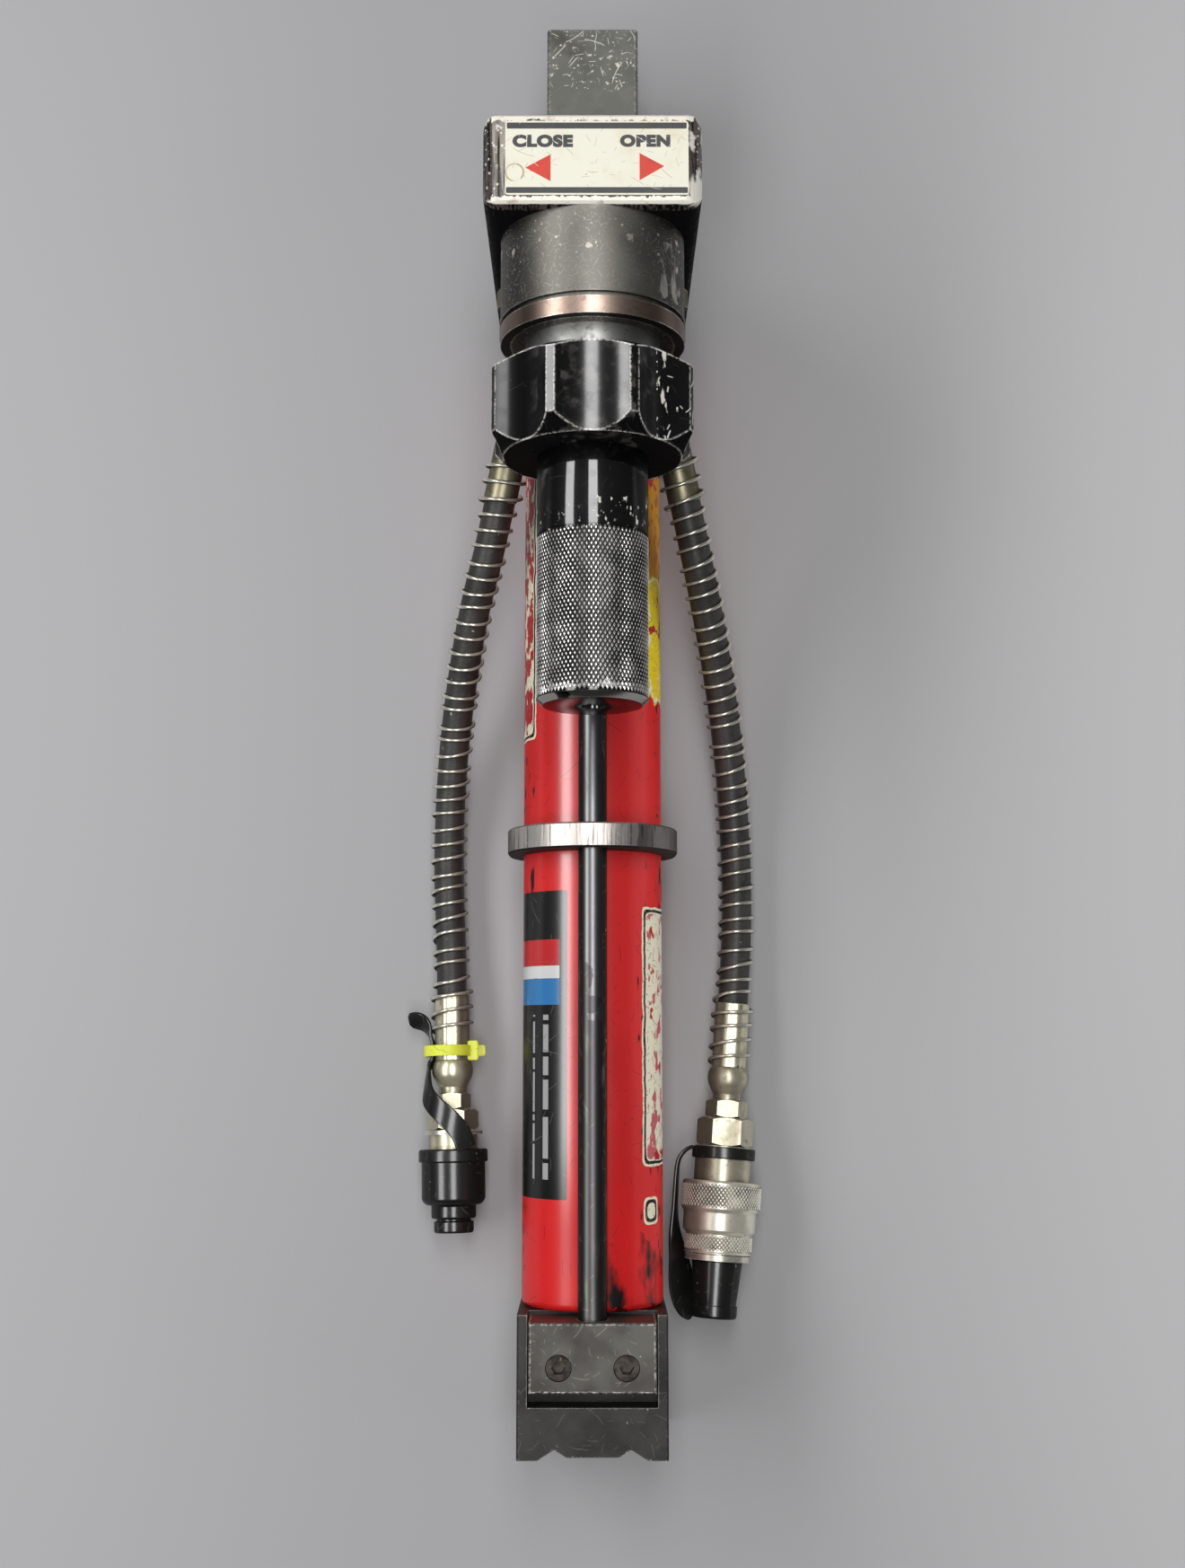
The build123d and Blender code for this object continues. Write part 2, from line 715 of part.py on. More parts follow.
# Head block: bores for tube, gland, valve, pipe and hose ports, and the oil ways between them
port_oil_depth = adapter_thread_length + oil_margin + cross_hole / 2
pipe_oil_line = along((0, y_pipe_end + oil_margin + cross_hole / 2, pipe_height), (0, 0, 1))
valve_screw_places = PolarLocations(valve_screw_circle_radius, 3, start_angle=-90)
valve_screw_seat = valve_screw_head_height + free_gap
with BuildPart() as block:
    with BuildSketch():
        with Locations((0, y_block + block_thickness / 2)):
            RectangleRounded(block_width, block_thickness, block_corner)
    extrude(amount=label_face)
    chamfer(block.faces().sort_by(Axis.Z)[-1].edges(), block_edge)
    with BuildSketch(Plane.XZ.offset(-y_block_end - cut_margin)):
        with BuildSketch(mode=Mode.PRIVATE) as block_outline:
            Rectangle(block_width, label_face, align=(Align.CENTER, Align.MIN))
            fillet(block_outline.vertices().group_by(Axis.Y)[0], block_sole_corner)
            fillet(block_outline.vertices().group_by(Axis.Y)[-1], block_shoulder)
        Rectangle(block_width + 2 * cut_margin, label_face + cut_margin, align=(Align.CENTER, Align.MIN))
        add(block_outline.sketch, mode=Mode.SUBTRACT)
    extrude(amount=block_thickness + 2 * cut_margin, mode=Mode.SUBTRACT)
    round_bar(ram_line, tube_insert_diameter + 2 * seat_gap, y_block, y_tube_end, Mode.SUBTRACT)
    round_bar(ram_line, tube_bore, y_block, y_block_end, Mode.SUBTRACT)
    round_bar(rod_oil_line, cross_hole, 0, valve_rise, Mode.SUBTRACT)
    round_bar(valve_line, 2 * (valve_sleeve_radius + seat_gap), -valve_bore_depth, 0, Mode.SUBTRACT)
    with BuildSketch(across(valve_line, -block_thickness - cut_margin)):
        with valve_screw_places:
            Circle(valve_screw_diameter / 2 + seat_gap)
    extrude(amount=block_thickness + 2 * cut_margin, mode=Mode.SUBTRACT)
    with BuildSketch(across(valve_line, -block_thickness - cut_margin)):
        with valve_screw_places:
            Circle(valve_screw_head / 2 + free_gap)
    extrude(amount=valve_screw_seat + cut_margin, mode=Mode.SUBTRACT)
    round_bar(pipe_line, pipe_od + 2 * seat_gap, y_block, y_pipe_end, Mode.SUBTRACT)
    round_bar(pipe_line, pipe_bore, y_block, y_pipe_end + cross_hole + 2 * oil_margin, Mode.SUBTRACT)
    round_bar(pipe_oil_line, cross_hole, 0, valve_height - pipe_height, Mode.SUBTRACT)
    for name, corner in corners.items():
        round_bar(port_lines[name], adapter_thread_diameter + 2 * seat_gap, -adapter_thread_length, 0,
                  Mode.SUBTRACT)
        round_bar(port_lines[name], oil_hole, -port_oil_depth - cross_hole / 2 - oil_margin, 0, Mode.SUBTRACT)
        oil_start = Vector(corner.X, y_block + port_oil_depth, corner.Z)
        oil_end = Vector(0, y_block + port_oil_depth, valve_height)
        round_bar(along(oil_start, oil_end - oil_start), cross_hole, 0, (oil_end - oil_start).length,
                  Mode.SUBTRACT)
block.part.label = "head_block"
export_step(block.part, "parts/head_block.step")

with BuildPart() as valve_screws:
    with BuildSketch(across(valve_line, -block_thickness + valve_screw_seat)):
        with valve_screw_places:
            Circle(valve_screw_diameter / 2)
    extrude(amount=block_thickness - valve_screw_seat + valve_screw_grip)
    with BuildSketch(across(valve_line, -block_thickness + free_gap)):
        with valve_screw_places:
            Circle(valve_screw_head / 2)
    extrude(amount=valve_screw_head_height)
    with BuildSketch(across(valve_line, -block_thickness + free_gap)):
        with valve_screw_places:
            RegularPolygon(valve_screw_socket / 2, 6, major_radius=False)
    extrude(amount=valve_screw_head_height / 2, mode=Mode.SUBTRACT)
valve_screws.part.label = "valve_screws"
export_step(valve_screws.part, "parts/valve_screws.step")

with BuildPart() as label:
    with BuildSketch(Plane.XY.offset(label_face)):
        with Locations((label_side, y_block + block_thickness / 2)):
            RectangleRounded(label_width, label_height, block_edge)
    extrude(amount=label_thickness)
label.part.label = "control_label"
export_step(label.part, "parts/control_label.step")

# Valve housing, distances from the head block's face towards the grip
cavity_radius = housing_radius - housing_wall
nose_seat_radius = housing_radius - bearing_wall
bearing_start = housing_length + housing_groove_width
bearing_end = bearing_start + bearing_width
cavity_end = bearing_end - lip_length
sleeve_seat_radius = valve_sleeve_radius + seat_gap
lip_radius = rotor_neck_radius + free_gap
housing_seal_inner = valve_sleeve_radius + seal_section + 2 * seal_squeeze
with BuildPart() as housing:
    turned(valve_line, [(sleeve_seat_radius, 0), (housing_radius, 0), (housing_radius, housing_length),
                        (housing_radius - housing_groove_depth, housing_length),
                        (housing_radius - housing_groove_depth, bearing_start),
                        (nose_seat_radius, bearing_start), (nose_seat_radius, bearing_end),
                        (lip_radius, bearing_end), (lip_radius, cavity_end), (cavity_radius, cavity_end),
                        (cavity_radius, housing_web), (sleeve_seat_radius, housing_web)])
    groove(valve_line, housing_seal_inner - seal_squeeze, housing_seal_inner + seal_section + seal_squeeze,
           0, seal_room)
    with BuildSketch(across(valve_line, 0)):
        with valve_screw_places:
            Circle(valve_screw_diameter / 2 + seat_gap)
    extrude(amount=valve_screw_grip + free_gap, mode=Mode.SUBTRACT)
housing.part.label = "valve_housing"
export_step(housing.part, "parts/valve_housing.step")

with BuildPart() as housing_seal:
    o_ring(valve_line, housing_seal_inner, seal_squeeze)
housing_seal.part.label = "housing_seal"
export_step(housing_seal.part, "parts/housing_seal.step")

with BuildPart() as bearing_ring:
    turned(valve_line, [(nose_seat_radius + seat_gap, bearing_start), (housing_radius, bearing_start),
                        (housing_radius, bearing_end), (nose_seat_radius + seat_gap, bearing_end)])
bearing_ring.part.label = "bearing_ring"
export_step(bearing_ring.part, "parts/bearing_ring.step")

sleeve_inner_end = valve_end_gap - valve_bore_depth
valve_port_line = along((-valve_sleeve_radius, y_block + port_oil_depth, valve_height), (1, 0, 0))
valve_drain_line = along((0, y_block + port_oil_depth, valve_height - valve_sleeve_radius), (0, 0, 1))
with BuildPart() as valve_sleeve:
    spool_bore = spool_radius + running_gap
    turned(valve_line, [(spool_bore, sleeve_inner_end), (valve_sleeve_radius, sleeve_inner_end),
                        (valve_sleeve_radius, sleeve_inner_end + valve_sleeve_length),
                        (spool_bore, sleeve_inner_end + valve_sleeve_length)])
    for cross_line in (valve_port_line, valve_drain_line):
        round_bar(cross_line, valve_port_hole, 0, 2 * valve_sleeve_radius, Mode.SUBTRACT)
valve_sleeve.part.label = "valve_sleeve"
export_step(valve_sleeve.part, "parts/valve_sleeve.step")

# Valve rotor, lobed collar and twist grip, which turn together
rotor_start = sleeve_inner_end + valve_end_gap
shaft_start = sleeve_inner_end + valve_sleeve_length + 2 * free_gap
rotor_flange_end = cavity_end - free_gap
rotor_flange_start = rotor_flange_end - rotor_flange_thickness
rotor_flange_radius = cavity_radius - free_gap
collar_start = bearing_end + rotor_neck_shown
collar_end = collar_start + collar_length
spigot_tip = collar_end + spigot_in_grip
grip_end = collar_end + grip_length
grip_screw_seat = grip_end - grip_recess_depth
grip_screw_tip = spigot_tip - grip_screw_grip
spigot_bore = spigot_radius + seat_gap
with BuildPart() as rotor:
    turned(valve_line, [(0, rotor_start), (spool_radius, rotor_start), (spool_radius, shaft_start),
                        (rotor_shaft_radius, shaft_start), (rotor_shaft_radius, rotor_flange_start),
                        (rotor_flange_radius, rotor_flange_start), (rotor_flange_radius, rotor_flange_end),
                        (rotor_neck_radius, rotor_flange_end), (rotor_neck_radius, collar_start),
                        (spigot_radius, collar_start), (spigot_radius, spigot_tip), (0, spigot_tip)])
    round_bar(valve_line, grip_screw_diameter + 2 * seat_gap, grip_screw_tip - cut_margin, spigot_tip,
              Mode.SUBTRACT)
rotor.part.label = "valve_rotor"
export_step(rotor.part, "parts/valve_rotor.step")

flute_bottom = collar_radius - flute_depth
with BuildPart() as collar:
    turned(valve_line, [(spigot_bore, collar_start), (flute_bottom, collar_start),
                        (collar_radius, collar_start + collar_top_chamfer),
                        (collar_radius, collar_end - collar_sole_chamfer),
                        (flute_bottom, collar_end), (spigot_bore, collar_end)])
    with BuildSketch(across(valve_line, collar_start)):
        with PolarLocations(flute_bottom + flute_radius, collar_lobes):
            Circle(flute_radius)
    extrude(amount=collar_length, mode=Mode.SUBTRACT)
collar.part.label = "lobed_collar"
export_step(collar.part, "parts/lobed_collar.step")

with BuildPart() as grip:
    turned(valve_line, [(spigot_bore, collar_end), (grip_radius, collar_end),
                        (grip_radius, grip_end - grip_end_chamfer), (grip_radius - grip_end_chamfer, grip_end),
                        (grip_recess / 2, grip_end), (grip_recess / 2, grip_screw_seat),
                        (grip_screw_diameter / 2 + seat_gap, grip_screw_seat),
                        (grip_screw_diameter / 2 + seat_gap, spigot_tip + free_gap),
                        (spigot_bore, spigot_tip + free_gap)])
grip.part.label = "twist_grip"
export_step(grip.part, "parts/twist_grip.step")

with BuildPart() as grip_screw:
    round_bar(valve_line, grip_screw_diameter, grip_screw_tip, grip_screw_seat)
    round_bar(valve_line, grip_screw_head, grip_screw_seat, grip_screw_seat + grip_screw_head_height)
    hex_socket(valve_line, grip_screw_socket, grip_screw_seat + grip_screw_head_height / 2,
               grip_screw_seat + grip_screw_head_height)
grip_screw.part.label = "grip_screw"
export_step(grip_screw.part, "parts/grip_screw.step")

# Wound wire: arcs along a helix round a spine


def biarc(start, start_run, end, end_run):
    """Two arcs that join two points and leave and reach them in the given directions."""
    gap = end - start
    both = start_run + end_run
    bend = 2 * (1 - start_run.dot(end_run))
    reach = (math.sqrt(gap.dot(both) ** 2 + bend * gap.dot(gap)) - gap.dot(both)) / bend
    first = start + start_run * reach
    last = end - end_run * reach
    middle = (first + last) * 0.5
    return [Edge.make_tangent_arc(start, start_run, middle),
            Edge.make_tangent_arc(middle, (last - first).normalized(), end)]


def helix_path(name, spine, radius, wire, start, end, turns):
    """Path of a wire wound round a spine, with straight ends one wire long. Prints its gap to itself."""

    def place(turn):
        middle, run = spine(start + (end - start) * turn / turns)
        up = (Vector(0, 0, 1) - run * run.Z).normalized()
        angle = 2 * math.pi * turn
        return middle + up * (radius * math.cos(angle)) + run.cross(up) * (radius * math.sin(angle))

    def tangent(turn):
        step = 0.001
        return (place(min(turn + step, turns)) - place(max(turn - step, 0))).normalized()

    stops = [quarter / 4 for quarter in range(4 * turns + 1)]
    edges = [Edge.make_line(place(0) - tangent(0) * wire, place(0))]
    for first, last in zip(stops, stops[1:]):
        edges += biarc(place(first), tangent(first), place(last), tangent(last))
    edges.append(Edge.make_line(place(turns), place(turns) + tangent(turns) * wire))
    points = [place(step / 12) for step in range(12 * turns + 1)]
    gap = min((points[a] - points[b]).length
              for a in range(len(points)) for b in range(a + 7, min(a + 18, len(points)))) - wire
    print(f"{name}: {turns} turns, least gap to itself {gap:.2f} mm")
    return Wire(edges)


def straight_spine(line):
    """Spine of a coil on a straight line."""
    return lambda distance: (line.origin + line.y_dir * distance, line.y_dir)


return_start = housing_web + free_gap + return_wire / 2
return_path = helix_path("return_spring", straight_spine(valve_line), return_coil_radius, return_wire,
                         return_start, return_start + return_turns * return_pitch, return_turns)
with BuildPart() as return_spring:
    with BuildSketch(Plane(origin=return_path @ 0, z_dir=return_path % 0)):
        Circle(return_wire / 2)
    sweep(path=return_path)
return_spring.part.label = "return_spring"
export_step(return_spring.part, "parts/return_spring.step")

# Hose tails: adapter, bent stem with ferrule, hose and spring guard
adapter_end = adapter_hex_length + adapter_neck_length
swivel_end = adapter_end + swivel_length
guard_overlap = {"left": guard_on_left_ferrule, "right": guard_on_right_ferrule}
guard_turns = {"left": left_guard_turns, "right": right_guard_turns}
coupling_lines = {}
for name, (side, route, end_run) in tails.items():
    port_line = port_lines[name]
    hose_start = route_point(side, route[0])
    hose_end = route_point(side, route[-1])
    with BuildPart() as port_adapter:
        round_bar(port_line, adapter_thread_diameter, -adapter_thread_length, 0)
        hex_nut(port_line, adapter_flats, 0, adapter_hex_length)
        round_bar(port_line, adapter_thread_diameter, adapter_hex_length, adapter_end)
        round_bar(port_line, oil_hole, -adapter_thread_length, adapter_end, Mode.SUBTRACT)
    port_adapter.part.label = f"{name}_port_adapter"
    export_step(port_adapter.part, f"parts/{name}_port_adapter.step")

    stem_start = across(port_line, swivel_end).origin
    ferrule_start = hose_start - exits[name] * upper_ferrule_length
    with BuildPart() as upper_ferrule:
        hex_nut(port_line, swivel_flats, adapter_end, swivel_end)
        with BuildLine() as stem_path:
            FilletPolyline(stem_start, corners[name], hose_start, radius=stem_bend)
        with BuildSketch(across(port_line, swivel_end)):
            Circle(stem_diameter / 2)
        sweep(path=stem_path.line)
        round_bar(along(ferrule_start, exits[name]), ferrule_diameter, 0, upper_ferrule_length)
    upper_ferrule.part.label = f"{name}_upper_ferrule"
    export_step(upper_ferrule.part, f"parts/{name}_upper_ferrule.step")

    points = [hose_start, hose_start + exits[name] * exit_run]
    points += [route_point(side, point) for point in route[1:-1]]
    points += [hose_end - end_run * exit_run, hose_end]
    radii = []
    for before, point, after in zip(points, points[1:], points[2:]):
        half_turn = math.radians((point - before).get_angle(after - point)) / 2
        shorter = min((point - before).length, (after - point).length)
        radii.append(hose_arc_share * shorter / math.tan(half_turn))
    print(f"{name}_hose bend radii:", ", ".join(f"{radius:.0f}" for radius in radii))
    with BuildPart() as hose:
        with BuildLine() as hose_path:
            FilletPolyline(*points, radius=radii)
        with BuildSketch(Plane(origin=hose_start, z_dir=exits[name])):
            Circle(hose_diameter / 2)
        sweep(path=hose_path.line)
    hose.part.label = f"{name}_hose"
    export_step(hose.part, f"parts/{name}_hose.step")
    hose_wire = hose_path.wire()
    hose_length = hose_wire.length
    expected = math.pi * hose_diameter ** 2 / 4 * hose_length
    print(f"{name}_hose length {hose_length:.1f} mm, volume over section times length "
          f"{hose.part.volume / expected:.4f}")

    def hose_spine(distance):
        """Point and direction along the ferrules and the hose between them."""
        if distance <= 0:
            return hose_start + exits[name] * distance, exits[name]
        if distance >= hose_length:
            return hose_end + end_run * (distance - hose_length), end_run
        return hose_wire @ (distance / hose_length), hose_wire % (distance / hose_length)

    guard_path = helix_path(f"{name}_spring_guard", hose_spine, guard_coil_radius, guard_wire,
                            -guard_on_upper_ferrule, hose_length + guard_overlap[name], guard_turns[name])
    with BuildPart() as spring_guard:
        with BuildSketch(Plane(origin=guard_path @ 0, z_dir=guard_path % 0)):
            Circle(guard_wire / 2)
        sweep(path=guard_path)
    spring_guard.part.label = f"{name}_spring_guard"
    export_step(spring_guard.part, f"parts/{name}_spring_guard.step")
    coupling_lines[name] = along(hose_end, end_run)

left_line = coupling_lines["left"]
right_line = coupling_lines["right"]

# Lower ferrules and hose fittings
ferrule_lengths = {"left": left_ferrule_length, "right": right_ferrule_length}
small_flats = {"left": left_small_flats, "right": right_small_flats}
small_hexes = {"left": left_small_hex, "right": right_small_hex}
bulb_foot_radius = bulb_radius - bulb_crown
neck_start = bulb_length + bulb_taper
neck_end = neck_start + neck_length
fitting_ends = {}
for name, line in coupling_lines.items():
    ferrule_end = ferrule_lengths[name]
    with BuildPart() as lower_ferrule:
        round_bar(line, ferrule_diameter, 0, ferrule_end)
        round_bar(line, ferrule_bore, 0, ferrule_end, Mode.SUBTRACT)
    lower_ferrule.part.label = f"{name}_lower_ferrule"
    export_step(lower_ferrule.part, f"parts/{name}_lower_ferrule.step")

    fitting_line = along(across(line, ferrule_end).origin, line.y_dir)
    fitting_ends[name] = ferrule_end + neck_end + small_hexes[name]
    with BuildPart() as hose_fitting:
        with BuildSketch(fitting_line):
            with BuildLine():
                Line((0, 0), (bulb_foot_radius, 0))
                ThreePointArc((bulb_foot_radius, 0), (bulb_radius, bulb_length / 2),
                              (bulb_foot_radius, bulb_length))
                Polyline((bulb_foot_radius, bulb_length), (neck_radius, neck_start), (neck_radius, neck_end),
                         (0, neck_end), (0, 0))
            make_face()
        revolve(axis=Axis(fitting_line.origin, fitting_line.y_dir))
        hex_nut(line, small_flats[name], ferrule_end + neck_end, fitting_ends[name])
        round_bar(line, ferrule_bore, ferrule_end, fitting_ends[name], Mode.SUBTRACT)
    hose_fitting.part.label = f"{name}_hose_fitting"
    export_step(hose_fitting.part, f"parts/{name}_hose_fitting.step")

# Left coupling: nipple body with its clip, poppet and spring, under a pull-off dust cap
left_nipple = fitting_ends["left"]
left_barrel = left_nipple + left_big_hex
left_nose = left_barrel + nipple_shoulder
left_nose_end = left_nose + nose_length
left_seat = left_nose_end - left_seat_length
left_chamber = left_seat - left_chamber_length
nose_groove_start = left_nose_end - nose_groove_from_end
with BuildPart() as nipple_body:
    hex_nut(left_line, left_big_flats, left_nipple, left_barrel)
    round_bar(left_line, 2 * nipple_radius, left_barrel, left_nose)
    round_bar(left_line, 2 * nose_radius, left_nose, left_nose_end)
    groove(left_line, nose_groove_radius, nose_radius + cut_margin, nose_groove_start,
           nose_groove_start + nose_groove_width)
    round_bar(left_line, coupling_oil_bore, left_nipple, left_chamber, Mode.SUBTRACT)
    round_bar(left_line, poppet_bore, left_chamber, left_seat, Mode.SUBTRACT)
    round_bar(left_line, poppet_orifice, left_seat, left_nose_end, Mode.SUBTRACT)
nipple_body.part.label = "nipple_body"
export_step(nipple_body.part, "parts/nipple_body.step")

clip_start = left_barrel + clip_offset
with BuildPart() as nipple_clip:
    with BuildSketch(across(left_line, clip_start)):
        Circle(clip_radius)
        Circle(nipple_radius + seat_gap, mode=Mode.SUBTRACT)
        Rectangle(clip_mouth, 2 * clip_radius, align=(Align.CENTER, Align.MIN), mode=Mode.SUBTRACT)
    extrude(amount=clip_thickness)
nipple_clip.part.label = "nipple_clip"
export_step(nipple_clip.part, "parts/nipple_clip.step")

poppet_radius = poppet_bore / 2 - running_gap
poppet_nose_radius = poppet_orifice / 2 - free_gap


def poppet_head_start(seat):
    """Where a poppet's head begins, measured back from its seat."""
    return seat - poppet_nose_gap - poppet_head_length


def poppet_shape(line, seat, nose_end):
    """A poppet: stem in the spring, head on the seat, nose through the orifice."""
    head = poppet_head_start(seat)
    round_bar(line, 2 * poppet_stem_radius, head - poppet_stem_length, head)
    round_bar(line, 2 * poppet_radius, head, head + poppet_head_length)
    round_bar(line, 2 * poppet_nose_radius, head + poppet_head_length, nose_end)


def poppet_spring_path(name, line, chamber, seat):
    """Path of the spring between a chamber's floor and the poppet's head."""
    margin = free_gap + poppet_wire / 2
    return helix_path(name, straight_spine(line), poppet_coil_radius, poppet_wire, chamber + margin,
                      poppet_head_start(seat) - margin, poppet_turns)


with BuildPart() as nipple_poppet:
    poppet_shape(left_line, left_seat, left_nose_end)
nipple_poppet.part.label = "nipple_poppet"
export_step(nipple_poppet.part, "parts/nipple_poppet.step")

nipple_spring_path = poppet_spring_path("nipple_spring", left_line, left_chamber, left_seat)
with BuildPart() as nipple_spring:
    with BuildSketch(Plane(origin=nipple_spring_path @ 0, z_dir=nipple_spring_path % 0)):
        Circle(poppet_wire / 2)
    sweep(path=nipple_spring_path)
nipple_spring.part.label = "nipple_spring"
export_step(nipple_spring.part, "parts/nipple_spring.step")

cap_start = left_nose - cap_grip_land
cap_body_start = cap_start + cap_flange_length
cap_body_end = cap_body_start + cap_body_length
cap_step_end = cap_body_end + cap_step_length
cap_end = cap_step_end + cap_knob_length
cap_floor = left_nose_end + cap_end_gap
cap_shoulder = cap_radius - cap_step_radius
with BuildPart() as dust_cap:
    turned(left_line, [(nipple_radius + running_gap, cap_start), (cap_flange_radius, cap_start),
                       (cap_flange_radius, cap_body_start), (cap_radius, cap_body_start),
                       (cap_radius, cap_body_end - cap_shoulder / 2),
                       (cap_radius - cap_shoulder / 2, cap_body_end), (cap_step_radius, cap_body_end),
                       (cap_step_radius, cap_step_end - cap_knob_groove),
                       (cap_knob_radius - cap_knob_groove, cap_step_end - cap_knob_groove),
                       (cap_knob_radius - cap_knob_groove, cap_step_end),
                       (cap_knob_radius, cap_step_end), (cap_knob_radius, cap_end), (0, cap_end),
                       (0, cap_floor), (nose_radius + free_gap, cap_floor),
                       (nose_radius + free_gap, left_nose + free_gap),
                       (nipple_radius + running_gap, left_nose + free_gap)])
dust_cap.part.label = "dust_cap"
export_step(dust_cap.part, "parts/dust_cap.step")

# Right coupling: coupler body, sliding sleeve, spring, balls, stop ring, poppet and dust plug
right_body = fitting_ends["right"]
right_neck = right_body + right_big_hex
sleeve_start = right_neck + body_neck_length
sleeve_band_start = sleeve_start + sleeve_rear_length
sleeve_front_start = sleeve_band_start + sleeve_band_length
sleeve_end = sleeve_front_start + sleeve_front_length
stop_ring_start = sleeve_end + free_gap
right_front = stop_ring_start + stop_ring_width
socket_floor = right_front - socket_depth
right_seat = socket_floor - right_seat_length
right_chamber = right_seat - right_chamber_length
shoulder_start = sleeve_start + body_shoulder_from_sleeve
shoulder_end = shoulder_start + body_shoulder_width
spring_room_end = sleeve_start + sleeve_spring_room
ball_place = right_front - ball_from_front
ball_ring_radius = body_radius - ball_diameter / 2
ball_plane = across(right_line, ball_place)
ball_angles = [360 / ball_count * index for index in range(ball_count)]


def ball_direction(angle):
    """Radial direction of a locking ball."""
    turn = math.radians(angle)
    return ball_plane.x_dir * math.cos(turn) + ball_plane.y_dir * math.sin(turn)


with BuildPart() as coupler_body:
    hex_nut(right_line, right_big_flats, right_body, right_neck)
    round_bar(right_line, 2 * body_radius, right_neck, right_front)
    round_bar(right_line, 2 * body_shoulder_radius, shoulder_start, shoulder_end)
    round_bar(right_line, coupling_oil_bore, right_body, right_chamber, Mode.SUBTRACT)
    round_bar(right_line, poppet_bore, right_chamber, right_seat, Mode.SUBTRACT)
    round_bar(right_line, poppet_orifice, right_seat, socket_floor, Mode.SUBTRACT)
    round_bar(right_line, 2 * socket_radius, socket_floor, right_front, Mode.SUBTRACT)
    for angle in ball_angles:
        ball_line = Plane(origin=ball_plane.origin, x_dir=ball_plane.z_dir, z_dir=ball_direction(angle))
        with BuildSketch(ball_line) as ball_hole:
            Circle(ball_diameter / 2 + seat_gap)
        extrude(ball_hole.sketch, amount=body_radius + cut_margin, mode=Mode.SUBTRACT)
coupler_body.part.label = "coupler_body"
export_step(coupler_body.part, "parts/coupler_body.step")

with BuildPart() as locking_balls:
    with Locations(*[ball_plane.origin + ball_direction(angle) * ball_ring_radius for angle in ball_angles]):
        Sphere(ball_diameter / 2)
locking_balls.part.label = "locking_balls"
export_step(locking_balls.part, "parts/locking_balls.step")

sleeve_bore = body_radius + running_gap
sleeve_room_radius = body_shoulder_radius + free_gap
sleeve_step = sleeve_radius - sleeve_band_radius
with BuildPart() as coupler_sleeve:
    turned(right_line, [(sleeve_room_radius, sleeve_start), (sleeve_radius - sleeve_edge, sleeve_start),
                        (sleeve_radius, sleeve_start + sleeve_edge), (sleeve_radius, sleeve_band_start - sleeve_step),
                        (sleeve_band_radius, sleeve_band_start),
                        (sleeve_band_radius, sleeve_front_start - sleeve_step),
                        (sleeve_front_radius, sleeve_front_start), (sleeve_front_radius, sleeve_end),
                        (sleeve_relief_radius, sleeve_end),
                        (sleeve_relief_radius, sleeve_end - sleeve_relief_length),
                        (sleeve_bore, sleeve_end - sleeve_relief_length), (sleeve_bore, spring_room_end),
                        (sleeve_room_radius, spring_room_end)])
coupler_sleeve.part.label = "coupler_sleeve"
export_step(coupler_sleeve.part, "parts/coupler_sleeve.step")

sleeve_coil_radius = (body_radius + sleeve_room_radius) / 2
sleeve_margin = free_gap + sleeve_wire / 2
sleeve_spring_path = helix_path("sleeve_spring", straight_spine(right_line), sleeve_coil_radius, sleeve_wire,
                                shoulder_end + sleeve_margin, spring_room_end - sleeve_margin, sleeve_turns)
with BuildPart() as sleeve_spring:
    with BuildSketch(Plane(origin=sleeve_spring_path @ 0, z_dir=sleeve_spring_path % 0)):
        Circle(sleeve_wire / 2)
    sweep(path=sleeve_spring_path)
sleeve_spring.part.label = "sleeve_spring"
export_step(sleeve_spring.part, "parts/sleeve_spring.step")

with BuildPart() as stop_ring:
    turned(right_line, [(body_radius + seat_gap, stop_ring_start), (stop_ring_radius, stop_ring_start),
                        (stop_ring_radius, right_front), (body_radius + seat_gap, right_front)])
stop_ring.part.label = "stop_ring"
export_step(stop_ring.part, "parts/stop_ring.step")

with BuildPart() as coupler_poppet:
    poppet_shape(right_line, right_seat, socket_floor)
coupler_poppet.part.label = "coupler_poppet"
export_step(coupler_poppet.part, "parts/coupler_poppet.step")

coupler_spring_path = poppet_spring_path("coupler_spring", right_line, right_chamber, right_seat)
with BuildPart() as coupler_spring:
    with BuildSketch(Plane(origin=coupler_spring_path @ 0, z_dir=coupler_spring_path % 0)):
        Circle(poppet_wire / 2)
    sweep(path=coupler_spring_path)
coupler_spring.part.label = "coupler_spring"
export_step(coupler_spring.part, "parts/coupler_spring.step")

plug_seat_start = right_front - plug_seat_length
plug_tip = plug_seat_start - plug_nose_length
plug_seat_radius = socket_radius - 2 * running_gap
plug_body_start = right_front + free_gap
plug_rim_start = plug_body_start + plug_body_length
plug_end = plug_rim_start + plug_rim_length
with BuildPart() as dust_plug:
    turned(right_line, [(0, plug_tip), (plug_nose_radius, plug_tip), (plug_nose_radius, plug_seat_start),
                        (plug_seat_radius, plug_seat_start), (plug_seat_radius, plug_body_start),
                        (plug_radius, plug_body_start), (plug_end_radius, plug_rim_start),
                        (plug_rim_radius, plug_rim_start), (plug_rim_radius, plug_end), (0, plug_end)])
dust_plug.part.label = "dust_plug"
export_step(dust_plug.part, "parts/dust_plug.step")

